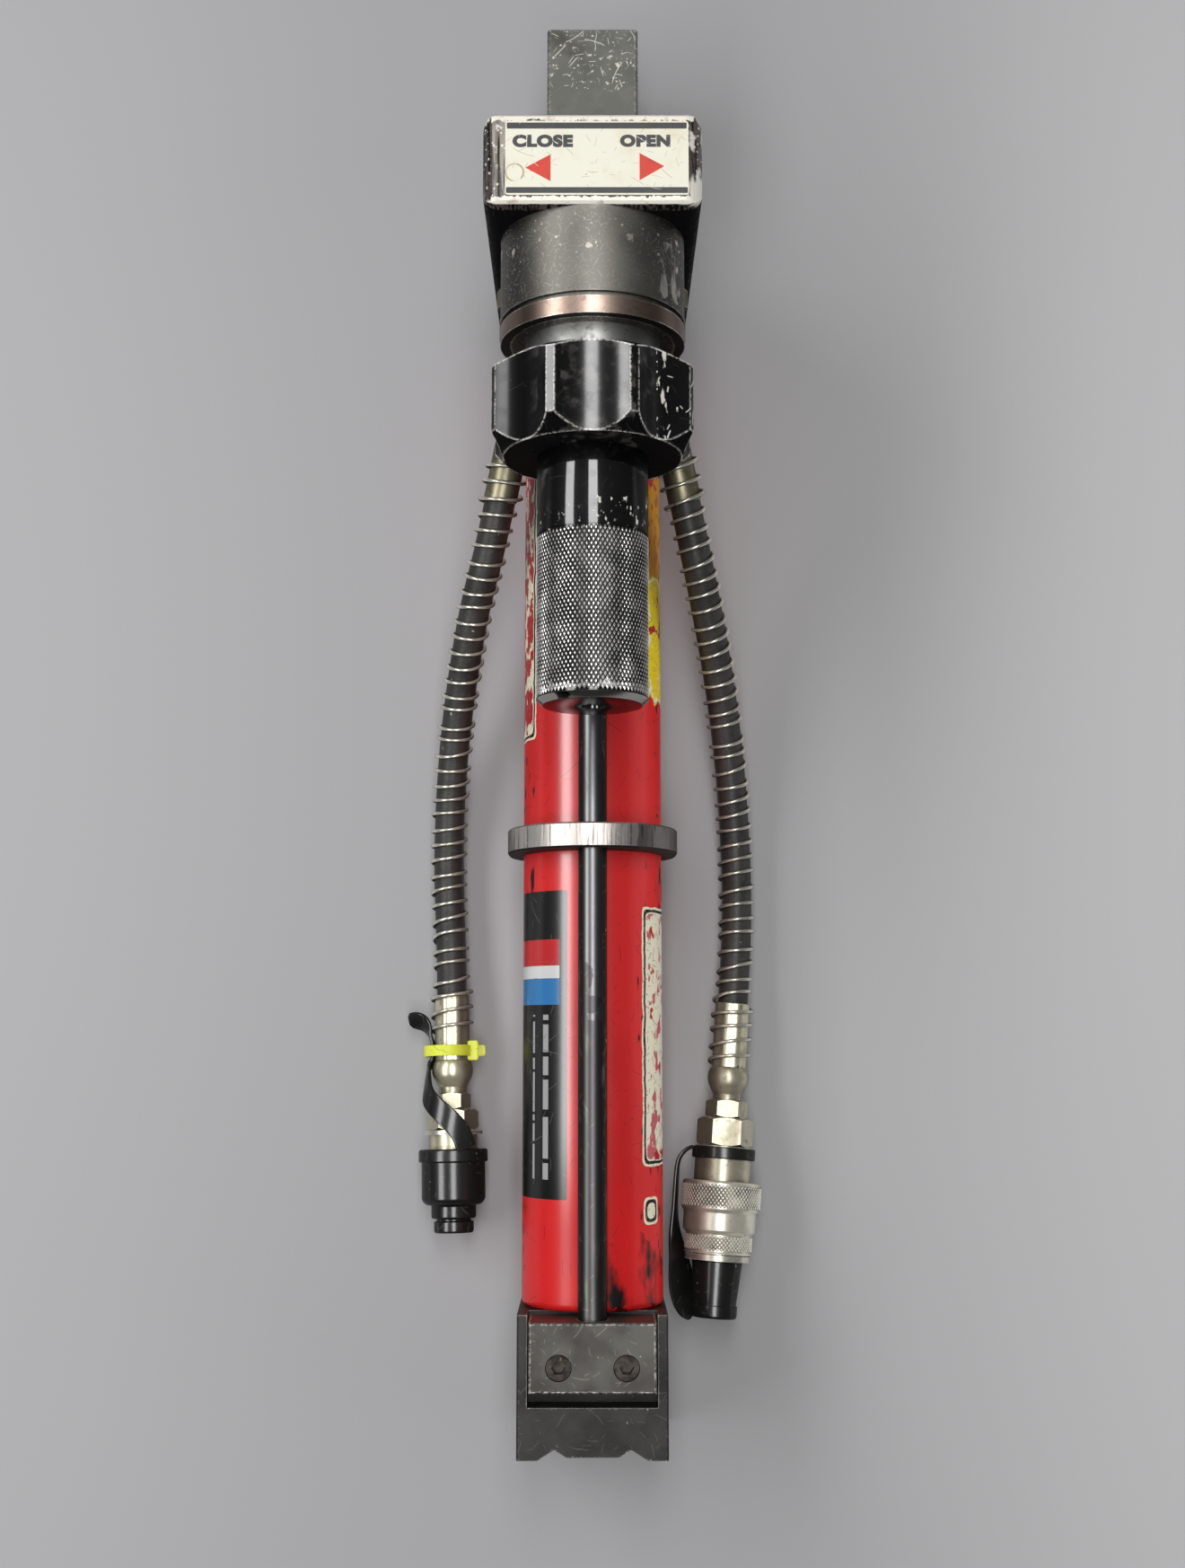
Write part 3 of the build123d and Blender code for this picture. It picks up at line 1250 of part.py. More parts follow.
# Rubber straps: flat bands given by place along the coupling, angle round it and radius
cap_strap_route = [
    (cap_start - free_gap, 62, 14.3),
    (left_barrel + 1, 74, 14.5),
    (left_barrel - 6, 98, 15.0),
    (left_nipple - 4, 130, 14.2),
    (left_nipple - 11, 158, 11.6),
    (left_ferrule_length + 3, 174, 10.5),
    (left_ferrule_length - 1, 180, 8.7),
    (left_ferrule_length - tie_from_bulb - tie_width - 1, 180, 8.7),
    (guard_on_left_ferrule + 1, 180, 10.7),
    (guard_on_left_ferrule - 4, 180, 11.6),
    (guard_on_left_ferrule - 8, 180, 14.0),
    (guard_on_left_ferrule - 10, 180, 18.0),
]
plug_strap_route = [
    (right_neck + 1.0, 180, body_radius + 1.4),
    (right_neck + 4.0, 180, body_radius + 4.4),
    (right_neck + 7.0, 180, sleeve_radius + 1.8),
    (sleeve_band_start, 180, sleeve_radius + 1.8),
    (sleeve_end, 180, sleeve_radius + 0.9),
    (right_front + 9.0, 180, plug_radius + 4.7),
    (plug_rim_start - 1.0, 180, plug_rim_radius + 3.2),
    (plug_end - 1.0, 180, plug_rim_radius + 1.6),
]


def strap_plane(line, place, angle, radius):
    """Plane of a strap's section: its x axis points out from the coupling."""
    turn = math.radians(angle)
    outward = line.x_dir * -math.cos(turn) + line.z_dir * math.sin(turn)
    return Plane(origin=across(line, place).origin + outward * radius, x_dir=outward, z_dir=line.y_dir)


with BuildPart() as cap_strap:
    for place, angle, radius in cap_strap_route:
        with BuildSketch(strap_plane(left_line, place, angle, radius)):
            Rectangle(strap_thickness, strap_width)
    loft(ruled=True)
cap_strap.part.label = "cap_strap"
export_step(cap_strap.part, "parts/cap_strap.step")

strap_ring_start = right_neck + strap_ring_offset
strap_ring_inside = body_radius + seat_gap
with BuildPart() as plug_strap:
    for place, angle, radius in plug_strap_route:
        with BuildSketch(strap_plane(right_line, place, angle, radius)):
            Rectangle(strap_thickness, strap_width)
    loft(ruled=True)
    turned(right_line, [(strap_ring_inside, strap_ring_start),
                        (strap_ring_inside + strap_ring_wall, strap_ring_start),
                        (strap_ring_inside + strap_ring_wall, strap_ring_start + strap_ring_width),
                        (strap_ring_inside, strap_ring_start + strap_ring_width)])
    round_bar(right_line, 2 * strap_ring_inside, strap_ring_start, strap_ring_start + strap_ring_width,
              Mode.SUBTRACT)
plug_strap.part.label = "plug_strap"
export_step(plug_strap.part, "parts/plug_strap.step")

# Cable tie round the left ferrule and the strap, with its lock head and cut tail
tie_end = left_ferrule_length - tie_from_bulb
tie_plane = across(left_line, tie_end - tie_width)
tie_edge = tie_radius + tie_thickness - tie_shift
with BuildPart() as cable_tie:
    with BuildSketch(tie_plane):
        with Locations((tie_shift, 0)):
            Circle(tie_radius + tie_thickness)
        with Locations((-tie_edge, 0)):
            Rectangle(tie_head_size, tie_head_size)
        with Locations((-tie_edge - tie_head_size / 2, 0)):
            Rectangle(tie_tail, tie_thickness, align=(Align.MAX, Align.CENTER))
        with Locations((tie_shift, 0)):
            Circle(tie_radius, mode=Mode.SUBTRACT)
    extrude(amount=tie_width)
cable_tie.part.label = "cable_tie"
export_step(cable_tie.part, "parts/cable_tie.step")

for name, line in coupling_lines.items():
    print(f"{name} coupling axis", [round(value, 5) for value in tuple(line.y_dir)])
print(f"overall length {overall_length:.2f}, tube shown {tube_shown:.2f}, valve axis height {valve_height:.2f}")
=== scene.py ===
"""Looks of a hydraulic rescue ram: finishes, knurl, hose tails, straps and labels round its CAD frame.

Metres, in the CAD's own frame: the ram lies along Y with its push head at +Y, and Z is up from the floor.
"""
import json
import math

import bmesh
import bpy
from mathutils import Matrix, Vector


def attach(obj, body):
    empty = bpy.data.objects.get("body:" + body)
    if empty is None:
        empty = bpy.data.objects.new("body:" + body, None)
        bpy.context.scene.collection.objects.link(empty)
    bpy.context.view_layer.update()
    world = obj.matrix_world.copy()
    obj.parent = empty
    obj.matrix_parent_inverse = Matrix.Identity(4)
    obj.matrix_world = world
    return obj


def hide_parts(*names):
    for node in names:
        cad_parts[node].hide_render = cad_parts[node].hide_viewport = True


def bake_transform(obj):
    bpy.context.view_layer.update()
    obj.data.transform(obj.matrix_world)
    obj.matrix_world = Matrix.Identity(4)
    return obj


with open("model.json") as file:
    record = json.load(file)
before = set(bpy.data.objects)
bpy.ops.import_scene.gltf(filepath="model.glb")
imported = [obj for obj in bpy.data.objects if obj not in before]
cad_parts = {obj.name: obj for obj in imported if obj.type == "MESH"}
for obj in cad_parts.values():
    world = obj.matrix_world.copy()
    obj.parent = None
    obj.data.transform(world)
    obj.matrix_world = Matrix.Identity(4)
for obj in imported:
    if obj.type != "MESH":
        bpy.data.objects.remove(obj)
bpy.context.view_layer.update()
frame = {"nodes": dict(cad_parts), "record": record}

scene = bpy.context.scene
scene.view_settings.view_transform = "Standard"
mm = 0.001
x_axis = (1.0, 0.0, 0.0)
y_axis = (0.0, 1.0, 0.0)
z_axis = (0.0, 0.0, 1.0)

# Camera: the photograph is 1746 pixels high, and its lens is given in the same pixels
photo_height = 1746
focal_pixels = 2050
sensor_height = 36
camera_place = (0, -0.142, 0.8437)
camera_tilt = 7.8

# Ram
axis_height = 42 * mm
tube_radius = 30 * mm
block_face = 178 * mm
label_face = 167 * mm

# Twist grip on its axis, distances from the head block's face
valve_height = 129 * mm
grip_radius = 22.3 * mm
grip_start = 90.5 * mm
grip_end = 191.2 * mm
grip_chamfer = 2.5 * mm
grip_hole_radius = 4.4 * mm
grip_hole_depth = 30 * mm
spigot_radius = 10.1 * mm
spigot_end = 138.5 * mm
knurl_start = 123 * mm
knurl_end = 188.4 * mm
knurl_depth = 0.45 * mm
knurl_around = 76
knurl_rows = 20
grip_rounding = 0.3 * mm

# Hose tails: hoses on the CAD's route points, spring guards, ferrules, and the pieces that each hose carries
hose_diameter = 13.4 * mm
hose_lengths = {"left": 0.2269, "right": 0.2298}
guard_radius = 7.55 * mm
guard_end_radius = 8.9 * mm
guard_wire = 1.6 * mm
guard_on_upper_ferrule = 19 * mm
guard_on_lower_ferrule = {"left": 16.5 * mm, "right": 26.5 * mm}
guard_end_margin = 6 * mm
guard_turns = {"left": 38, "right": 40}
guard_slack = 0.7
hose_exit = Vector((0.2151, -0.9318, -0.2924))
hose_routes = {
    "left": [
        (-0.0400, 0.0880, 0.0700),
        (-0.0447, 0.0675, 0.0636),
        (-0.0516, 0.0460, 0.0520),
        (-0.0572, 0.0210, 0.0376),
        (-0.0616, -0.0050, 0.0250),
        (-0.0642, -0.0315, 0.0160),
        (-0.0653, -0.0565, 0.0112),
        (-0.0649, -0.0805, 0.0102),
        (-0.0636, -0.1020, 0.0111),
        (-0.0631, -0.1240, 0.0122),
    ],
    "right": [
        (0.0400, 0.0875, 0.0700),
        (0.0447, 0.0670, 0.0636),
        (0.0500, 0.0450, 0.0522),
        (0.0554, 0.0210, 0.0384),
        (0.0600, -0.0050, 0.0258),
        (0.0631, -0.0315, 0.0168),
        (0.0648, -0.0570, 0.0118),
        (0.0654, -0.0820, 0.0106),
        (0.0645, -0.1059, 0.0121),
        (0.0628, -0.1278, 0.0136),
    ],
}
coupling_directions = {"left": (0.02266, -0.99837, 0.05234), "right": (-0.07653, -0.99462, 0.06976)}
ferrule_radius = 7.9 * mm
ferrule_bore = 3 * mm
ferrule_lengths = {"left": 29 * mm, "right": 28.6 * mm}
ferrule_crimps = 8
crimp_depth = 0.05
ferrule_rounding = 0.6 * mm

# Springs in the couplings, in millimetres: side, start, end, radius, wire, turns, and the body that moves
coupling_springs = {
    "nipple_spring": ("left", 57.4, 74.6, 4.4, 1.2, 5, "nipple_valve"),
    "coupler_spring": ("right", 58.3, 77.5, 4.4, 1.2, 5, "coupler_valve"),
    "sleeve_spring": ("right", 83.2, 95.3, 13.5, 1.4, 4, "sleeve"),
}
spring_end_share = 0.1

# Dust cap on the left coupling, (radius, distance from the end of the hose) in millimetres
cap_outline = [
    (10.65, 67.5), (15.2, 67.5), (15.2, 73), (14, 73), (14, 89.4), (11.9, 91.5), (9.8, 91.5), (9.8, 97.3),
    (7.5, 97.3), (7.5, 98.5), (8.7, 98.5), (8.7, 103.5), (0, 103.5), (0, 89), (10.2, 89), (10.2, 71.8),
    (10.65, 71.8),
]
cap_rounding = 1.2 * mm

# Sleeve and dust plug on the right coupling, the same way; bands give radius, start, end, studs and rows
sleeve_outline = [
    (14.6, 77.7), (16.5, 77.7), (17.05, 78.7), (17.05, 89.6), (15.9, 91.1), (15.9, 98.8), (14.3, 100.2),
    (14.3, 107.6), (14.7, 108), (14.7, 108.6), (13.6, 108.6), (13.6, 104.8), (12.45, 104.8), (12.45, 96.3),
    (14.6, 96.3),
]
sleeve_bands = {"rear": (17.05, 79, 89.3, 64, 4), "front": (14.3, 100.5, 107.4, 54, 3)}
sleeve_knurl_depth = 0.4 * mm
sleeve_rounding = 0.4 * mm
plug_outline = [
    (0, 92.4), (8.1, 92.4), (8.1, 105.4), (10.1, 105.4), (10.1, 111.7), (11, 111.7), (9.3, 130.2),
    (9.9, 130.2), (9.9, 135.7), (0, 135.7),
]
plug_rounding = 1.5 * mm

# Straps, in millimetres and degrees: place along the coupling, angle round it, radius, width and twist
strap_thickness = 1.6 * mm
least_facing = 0.8
cap_strap_route = [
    (67.2, 62, 14.3, 9, 0), (60.2, 74, 14.5, 9, 0), (53.2, 98, 15, 9, 0), (46.1, 130, 14.2, 9, 0),
    (39.1, 158, 11.6, 9, 0), (32, 174, 10.5, 9, 0), (28, 180, 8.7, 9, 0), (21.2, 180, 8.7, 9, 0),
    (17.8, 180, 9.7, 9, 6), (14.6, 180, 10.9, 9, 24), (12.2, 180, 12.8, 9, 42), (10.9, 180, 15.2, 8.6, 54),
    (10.5, 180, 17.6, 7.6, 58), (10.6, 180, 18.8, 6, 60), (10.7, 180, 19.4, 3.6, 60),
]
plug_strap_route = [
    (63.7, 180, 13.6, 5, 0), (65.2, 180, 16.4, 6.4, 4), (68.6, 180, 19, 8, 6), (74, 180, 20, 9, 8),
    (90, 180, 19.9, 9, 12), (98, 180, 19.5, 9, 24), (104, 180, 18.6, 9, 40), (111, 180, 16.9, 10.4, 52),
    (118, 180, 15.5, 12.4, 58), (124, 180, 14.4, 13.6, 56), (129, 180, 13, 13, 56),
    (132.5, 180, 11.6, 10.6, 58), (134.5, 180, 10.2, 7.4, 62), (135.4, 180, 9, 4.4, 66),
]
strap_section = [
    (-1, -0.4), (-0.95, -0.85), (-0.86, -1), (0.86, -1), (0.95, -0.85), (1, -0.4),
    (1, 0.4), (0.95, 0.85), (0.86, 1), (-0.86, 1), (-0.95, 0.85), (-1, 0.4),
]
strap_ring_outline = [(12.45, 63.2), (13.85, 63.2), (13.85, 68.2), (12.45, 68.2)]
strap_ring_rounding = 0.9 * mm

# Cable tie round the left ferrule
tie_places = (22.2 * mm, 27 * mm)
tie_radius = 9.6 * mm
tie_thickness = 1.2 * mm
tie_shift = 1.9 * mm
tie_head = (5.6 * mm, 8.5 * mm, 7 * mm)
tie_tail = (6 * mm, 4.8 * mm, 1.2 * mm)
tie_rounding = 0.3 * mm
tie_bevel = 0.5 * mm

# Control label, X and Y of its parts in millimetres
label_thickness = 0.4 * mm
label_box = (-34.0, 181.3, 37.4, 211.7)
label_corner = 1.2
label_bars = {"top": (-33.4, 208.5, 36.7, 211.0), "bottom": (-33.6, 182.0, 37.0, 184.4)}
bar_corner = 0.4
label_words = {"CLOSE": (-31.2, 200.8, -7.6, 206.0), "OPEN": (10.7, 200.9, 30.3, 206.0)}
label_arrows = {
    "left": [(-26.1, 192.4), (-16.3, 186.8), (-16.3, 197.9)],
    "right": [(18.3, 198.4), (18.3, 187.2), (27.9, 193.0)],
}
print_thickness = 0.06 * mm
letter_weight = 0.07
letter_spacing = 1.12
letter_extrude = 0.5
ring_stain_middle = (-30.3 * mm, 190.5 * mm, 167.4 * mm)
ring_stain_radii = (3.1 * mm, 3.7 * mm)
block_borders = [(0.170, 0.1808), (0.2121, 0.220)]

# Finishes: borders, widths of scratches, sizes of marks, and where a clear gloss is none and where it is
# full, from 0 seen face on to 1 seen edgeways
border = 0.15 * mm
fine_scratch = 0.2 * mm
coarse_scratch = 0.3 * mm
scratch_sizes = (1.0, 0.45)
chip_sizes = (1.0, 0.4)
chip_roughness = 0.5
no_stretch = (1.0, 1.0, 1.0)
glaze_fade = (0.5, 0.12)

# Stage: the floor shows a little lighter than its lamps make it, more so on the left and right
floor_colour = (176, 176, 178)
floor_roughness = 0.9
floor_reach = 12
floor_glow = {"middle": 0.026, "left": 0.05, "right": 0.118}
glow_reach = (0.06, 0.3)
world_strength = 0.05

# Lamps: place, the point they aim at, width and length, power, and whether shiny surfaces show them
lamps = {
    "overhead_strip": ((0.02, 0.01, 1.15), (0, 0.01, 0.05), (0.32, 1.4), 7.2, True),
    "left_strip": ((-0.75, 0.02, 0.83), (0, 0.02, 0.08), (0.32, 1.4), 6.4, True),
    "right_fill": ((1.1, -0.05, 0.24), (0, -0.05, 0.05), (0.25, 1.4), 4.8, False),
}


# Ways to build node trees
def srgb(red, green, blue):
    """A colour given from 0 to 255 as a screen shows it, in Blender's linear values."""
    def linear(level):
        level /= 255
        return level / 12.92 if level <= 0.04045 else ((level + 0.055) / 1.055) ** 2.4
    return linear(red), linear(green), linear(blue), 1.0


def darker(colour, share):
    """A colour at part of its brightness."""
    return tuple(share * level for level in colour[:3]) + (1.0,)


def feed(tree, socket, value):
    """Link a socket to another one, or set it to a value."""
    if isinstance(value, bpy.types.NodeSocket):
        tree.links.new(value, socket)
    else:
        socket.default_value = value


def add(tree, kind, inputs=None, **settings):
    """A new node with its settings, and its inputs by name or number."""
    node = tree.nodes.new(kind)
    for name, value in settings.items():
        setattr(node, name, value)
    for name, value in (inputs or {}).items():
        feed(tree, node.inputs[name], value)
    return node


def made(tree, kind, inputs=None, **settings):
    """First output of a new node."""
    return add(tree, kind, inputs, **settings).outputs[0]


def maths(tree, operation, *values):
    """Result of one Math node."""
    return made(tree, "ShaderNodeMath", dict(enumerate(values)), operation=operation)


def product(tree, first, *others):
    """All the values multiplied."""
    for other in others:
        first = maths(tree, "MULTIPLY", first, other)
    return first


def vectors(tree, operation, *values):
    """Result of one Vector Math node."""
    return made(tree, "ShaderNodeVectorMath", dict(enumerate(values)), operation=operation)


def measure(tree, operation, first, second):
    """A number from two vectors, their dot product or their distance."""
    inputs = {0: first, 1: second}
    return add(tree, "ShaderNodeVectorMath", inputs, operation=operation).outputs["Value"]


def scaled(tree, vector, factor):
    """A vector times a number."""
    return made(tree, "ShaderNodeVectorMath", {0: vector, "Scale": factor}, operation="SCALE")


def spread(tree, value, low, high):
    """From 0 at low to 1 at high, with soft ends."""
    inputs = {"Value": value, "From Min": low, "From Max": high}
    return made(tree, "ShaderNodeMapRange", inputs, interpolation_type="SMOOTHSTEP")


def chosen(tree, choice, first, second):
    """First where choice is 0, second where it is 1."""
    return made(tree, "ShaderNodeMix", {0: choice, 2: first, 3: second})


def object_place(tree):
    """Object coordinates, in metres."""
    return add(tree, "ShaderNodeTexCoord").outputs["Object"]


def noise(tree, place, scale, detail=3.0):
    """Smooth noise from 0 to 1."""
    return made(tree, "ShaderNodeTexNoise", {"Vector": place, "Scale": scale, "Detail": detail})


def split(tree, vector):
    """The three parts of a vector."""
    return add(tree, "ShaderNodeSeparateXYZ", {0: vector}).outputs


def effect(name, **inputs):
    """A new shader group with a Mask output; gives its tree and its inputs by name."""
    tree = bpy.data.node_groups.new(name, "ShaderNodeTree")
    for label, value in inputs.items():
        kind = "NodeSocketVector" if isinstance(value, tuple) else "NodeSocketFloat"
        tree.interface.new_socket(label, in_out="INPUT", socket_type=kind).default_value = value
    tree.interface.new_socket("Mask", in_out="OUTPUT", socket_type="NodeSocketFloat")
    return tree, tree.nodes.new("NodeGroupInput").outputs


def give_mask(tree, socket):
    """End a shader group with its mask."""
    tree.links.new(socket, tree.nodes.new("NodeGroupOutput").inputs["Mask"])


# Edge wear: bare along outside edges, broken up by grain
edge_gain = 2.0
grain_range = (1.6, 0.2)
wear_softness = 0.15
tree, given = effect("edge_wear", Reach=0.002, Amount=0.5, Grain=500.0)
inside = add(tree, "ShaderNodeAmbientOcclusion", {"Distance": given["Reach"]}, inside=True, only_local=True,
             samples=4).outputs["AO"]
edge = product(tree, maths(tree, "SUBTRACT", 1.0, inside), edge_gain)
grain = noise(tree, object_place(tree), given["Grain"], 4.0)
worn = product(tree, edge, maths(tree, "MULTIPLY_ADD", grain, *grain_range))
start = maths(tree, "SUBTRACT", 1.0, given["Amount"])
give_mask(tree, spread(tree, worn, start, maths(tree, "ADD", start, wear_softness)))

# Specks: separate ragged spots; Share of the cells have one, up to Size of a cell across
speck_wobble = 0.7
speck_core = 0.6
tree, given = effect("specks", Cell=0.004, Stretch=no_stretch, Share=0.3, Size=0.4)
place = vectors(tree, "MULTIPLY", object_place(tree), given["Stretch"])
place = scaled(tree, place, maths(tree, "DIVIDE", 1.0, given["Cell"]))
wobble = add(tree, "ShaderNodeTexNoise", {"Vector": place, "Scale": 3.0, "Detail": 2.0}).outputs["Color"]
wobble = vectors(tree, "SUBTRACT", wobble, (0.5, 0.5, 0.5))
place = vectors(tree, "ADD", place, scaled(tree, wobble, speck_wobble))
cells = add(tree, "ShaderNodeTexVoronoi", {"Vector": place, "Scale": 1.0}).outputs
chance = split(tree, cells["Color"])
size = product(tree, given["Size"], chance[0])
spot = spread(tree, cells["Distance"], size, product(tree, size, speck_core))
give_mask(tree, product(tree, spot, maths(tree, "LESS_THAN", chance[1], given["Share"])))

# Patches: cloudy areas where noise passes from Low to High
tree, given = effect("patches", Scale=30.0, Stretch=no_stretch, Low=0.5, High=0.7, Detail=5.0)
place = vectors(tree, "MULTIPLY", object_place(tree), given["Stretch"])
cloud = noise(tree, place, given["Scale"], given["Detail"])
give_mask(tree, spread(tree, cloud, given["Low"], given["High"]))

# Scratches: one thin bent line in a Share of the cells, drawn on the side that the surface faces most
scratch_bend = 0.8
scratch_core = 0.3
scratch_taper = 0.6
scratch_lengths = (0.4, 0.15)
tree, given = effect("scratches", Cell=0.012, Width=fine_scratch, Share=0.5)
coordinates = add(tree, "ShaderNodeTexCoord").outputs
place = split(tree, coordinates["Object"])
facing = split(tree, vectors(tree, "ABSOLUTE", coordinates["Normal"]))
sideways = maths(tree, "GREATER_THAN", facing[0], facing[1])
upwards = maths(tree, "GREATER_THAN", facing[2], maths(tree, "MAXIMUM", facing[0], facing[1]))
across = chosen(tree, upwards, chosen(tree, sideways, place[0], place[1]), place[0])
along = chosen(tree, upwards, place[2], place[1])
flat = made(tree, "ShaderNodeCombineXYZ", {0: across, 1: along})
flat = scaled(tree, flat, maths(tree, "DIVIDE", 1.0, given["Cell"]))
cells = add(tree, "ShaderNodeTexVoronoi", {"Vector": flat, "Scale": 1.0}, voronoi_dimensions="2D").outputs
chance = split(tree, cells["Color"])
local = vectors(tree, "SUBTRACT", flat, cells["Position"])
turn = product(tree, chance[0], math.tau)
local = made(tree, "ShaderNodeVectorRotate", {"Vector": local, "Angle": turn}, rotation_type="Z_AXIS")
local = split(tree, local)
bend = product(tree, maths(tree, "SUBTRACT", chance[2], 0.5), scratch_bend)
off_line = maths(tree, "MULTIPLY_ADD", product(tree, local[0], local[0]), bend, local[1])
off_line = product(tree, maths(tree, "ABSOLUTE", off_line), given["Cell"])
line = spread(tree, off_line, given["Width"], product(tree, given["Width"], scratch_core))
length = maths(tree, "MULTIPLY_ADD", chance[2], *scratch_lengths)
ends = spread(tree, maths(tree, "ABSOLUTE", local[0]), length, product(tree, length, scratch_taper))
give_mask(tree, product(tree, line, ends, maths(tree, "LESS_THAN", chance[1], given["Share"])))

# Facing: where the surface looks along an Axis, from Start to End of their dot product
tree, given = effect("facing", Axis=z_axis, Start=0.7, End=0.2)
looks = measure(tree, "DOT_PRODUCT", add(tree, "ShaderNodeTexCoord").outputs["Normal"], given["Axis"])
give_mask(tree, spread(tree, looks, given["Start"], given["End"]))

# Inward: where the surface looks towards the ram's middle plane
tree, given = effect("inward", Start=0.3, End=0.85)
coordinates = add(tree, "ShaderNodeTexCoord").outputs
side = maths(tree, "SIGN", split(tree, coordinates["Object"])[0])
looks = product(tree, side, split(tree, coordinates["Normal"])[0], -1.0)
give_mask(tree, spread(tree, looks, given["Start"], given["End"]))

# Zone: between Start and End along an Axis, with a Ragged border
tree, given = effect("zone", Axis=y_axis, Start=0.0, End=1.0, Ragged=0.0, Grain=300.0)
place = object_place(tree)
shake = maths(tree, "SUBTRACT", noise(tree, place, given["Grain"], 4.0), 0.5)
run = maths(tree, "MULTIPLY_ADD", shake, given["Ragged"], measure(tree, "DOT_PRODUCT", place, given["Axis"]))
past_start = spread(tree, run, maths(tree, "SUBTRACT", given["Start"], border), given["Start"])
before_end = spread(tree, run, maths(tree, "ADD", given["End"], border), given["End"])
give_mask(tree, product(tree, past_start, before_end))

# Sticker: how far inside a patch wrapped on the tube a point lies, in metres, with a Ragged border
tree, given = effect("sticker", Left=0.0, Right=1.0, Start=0.0, End=1.0, Corner=0.002, Ragged=0.0,
                     Grain=200.0)
place = object_place(tree)
spot = split(tree, place)
angle = maths(tree, "ARCTAN2", spot[0], maths(tree, "SUBTRACT", spot[2], axis_height))
arc = product(tree, angle, tube_radius)
insets = [
    maths(tree, "SUBTRACT", arc, product(tree, given["Left"], tube_radius)),
    maths(tree, "SUBTRACT", product(tree, given["Right"], tube_radius), arc),
    maths(tree, "SUBTRACT", spot[1], given["Start"]),
    maths(tree, "SUBTRACT", given["End"], spot[1]),
]
depth = insets[0]
for inset in insets[1:]:
    depth = maths(tree, "SMOOTH_MIN", depth, inset, given["Corner"])
shake = maths(tree, "SUBTRACT", noise(tree, place, given["Grain"], 5.0), 0.5)
give_mask(tree, maths(tree, "MULTIPLY_ADD", shake, given["Ragged"], depth))


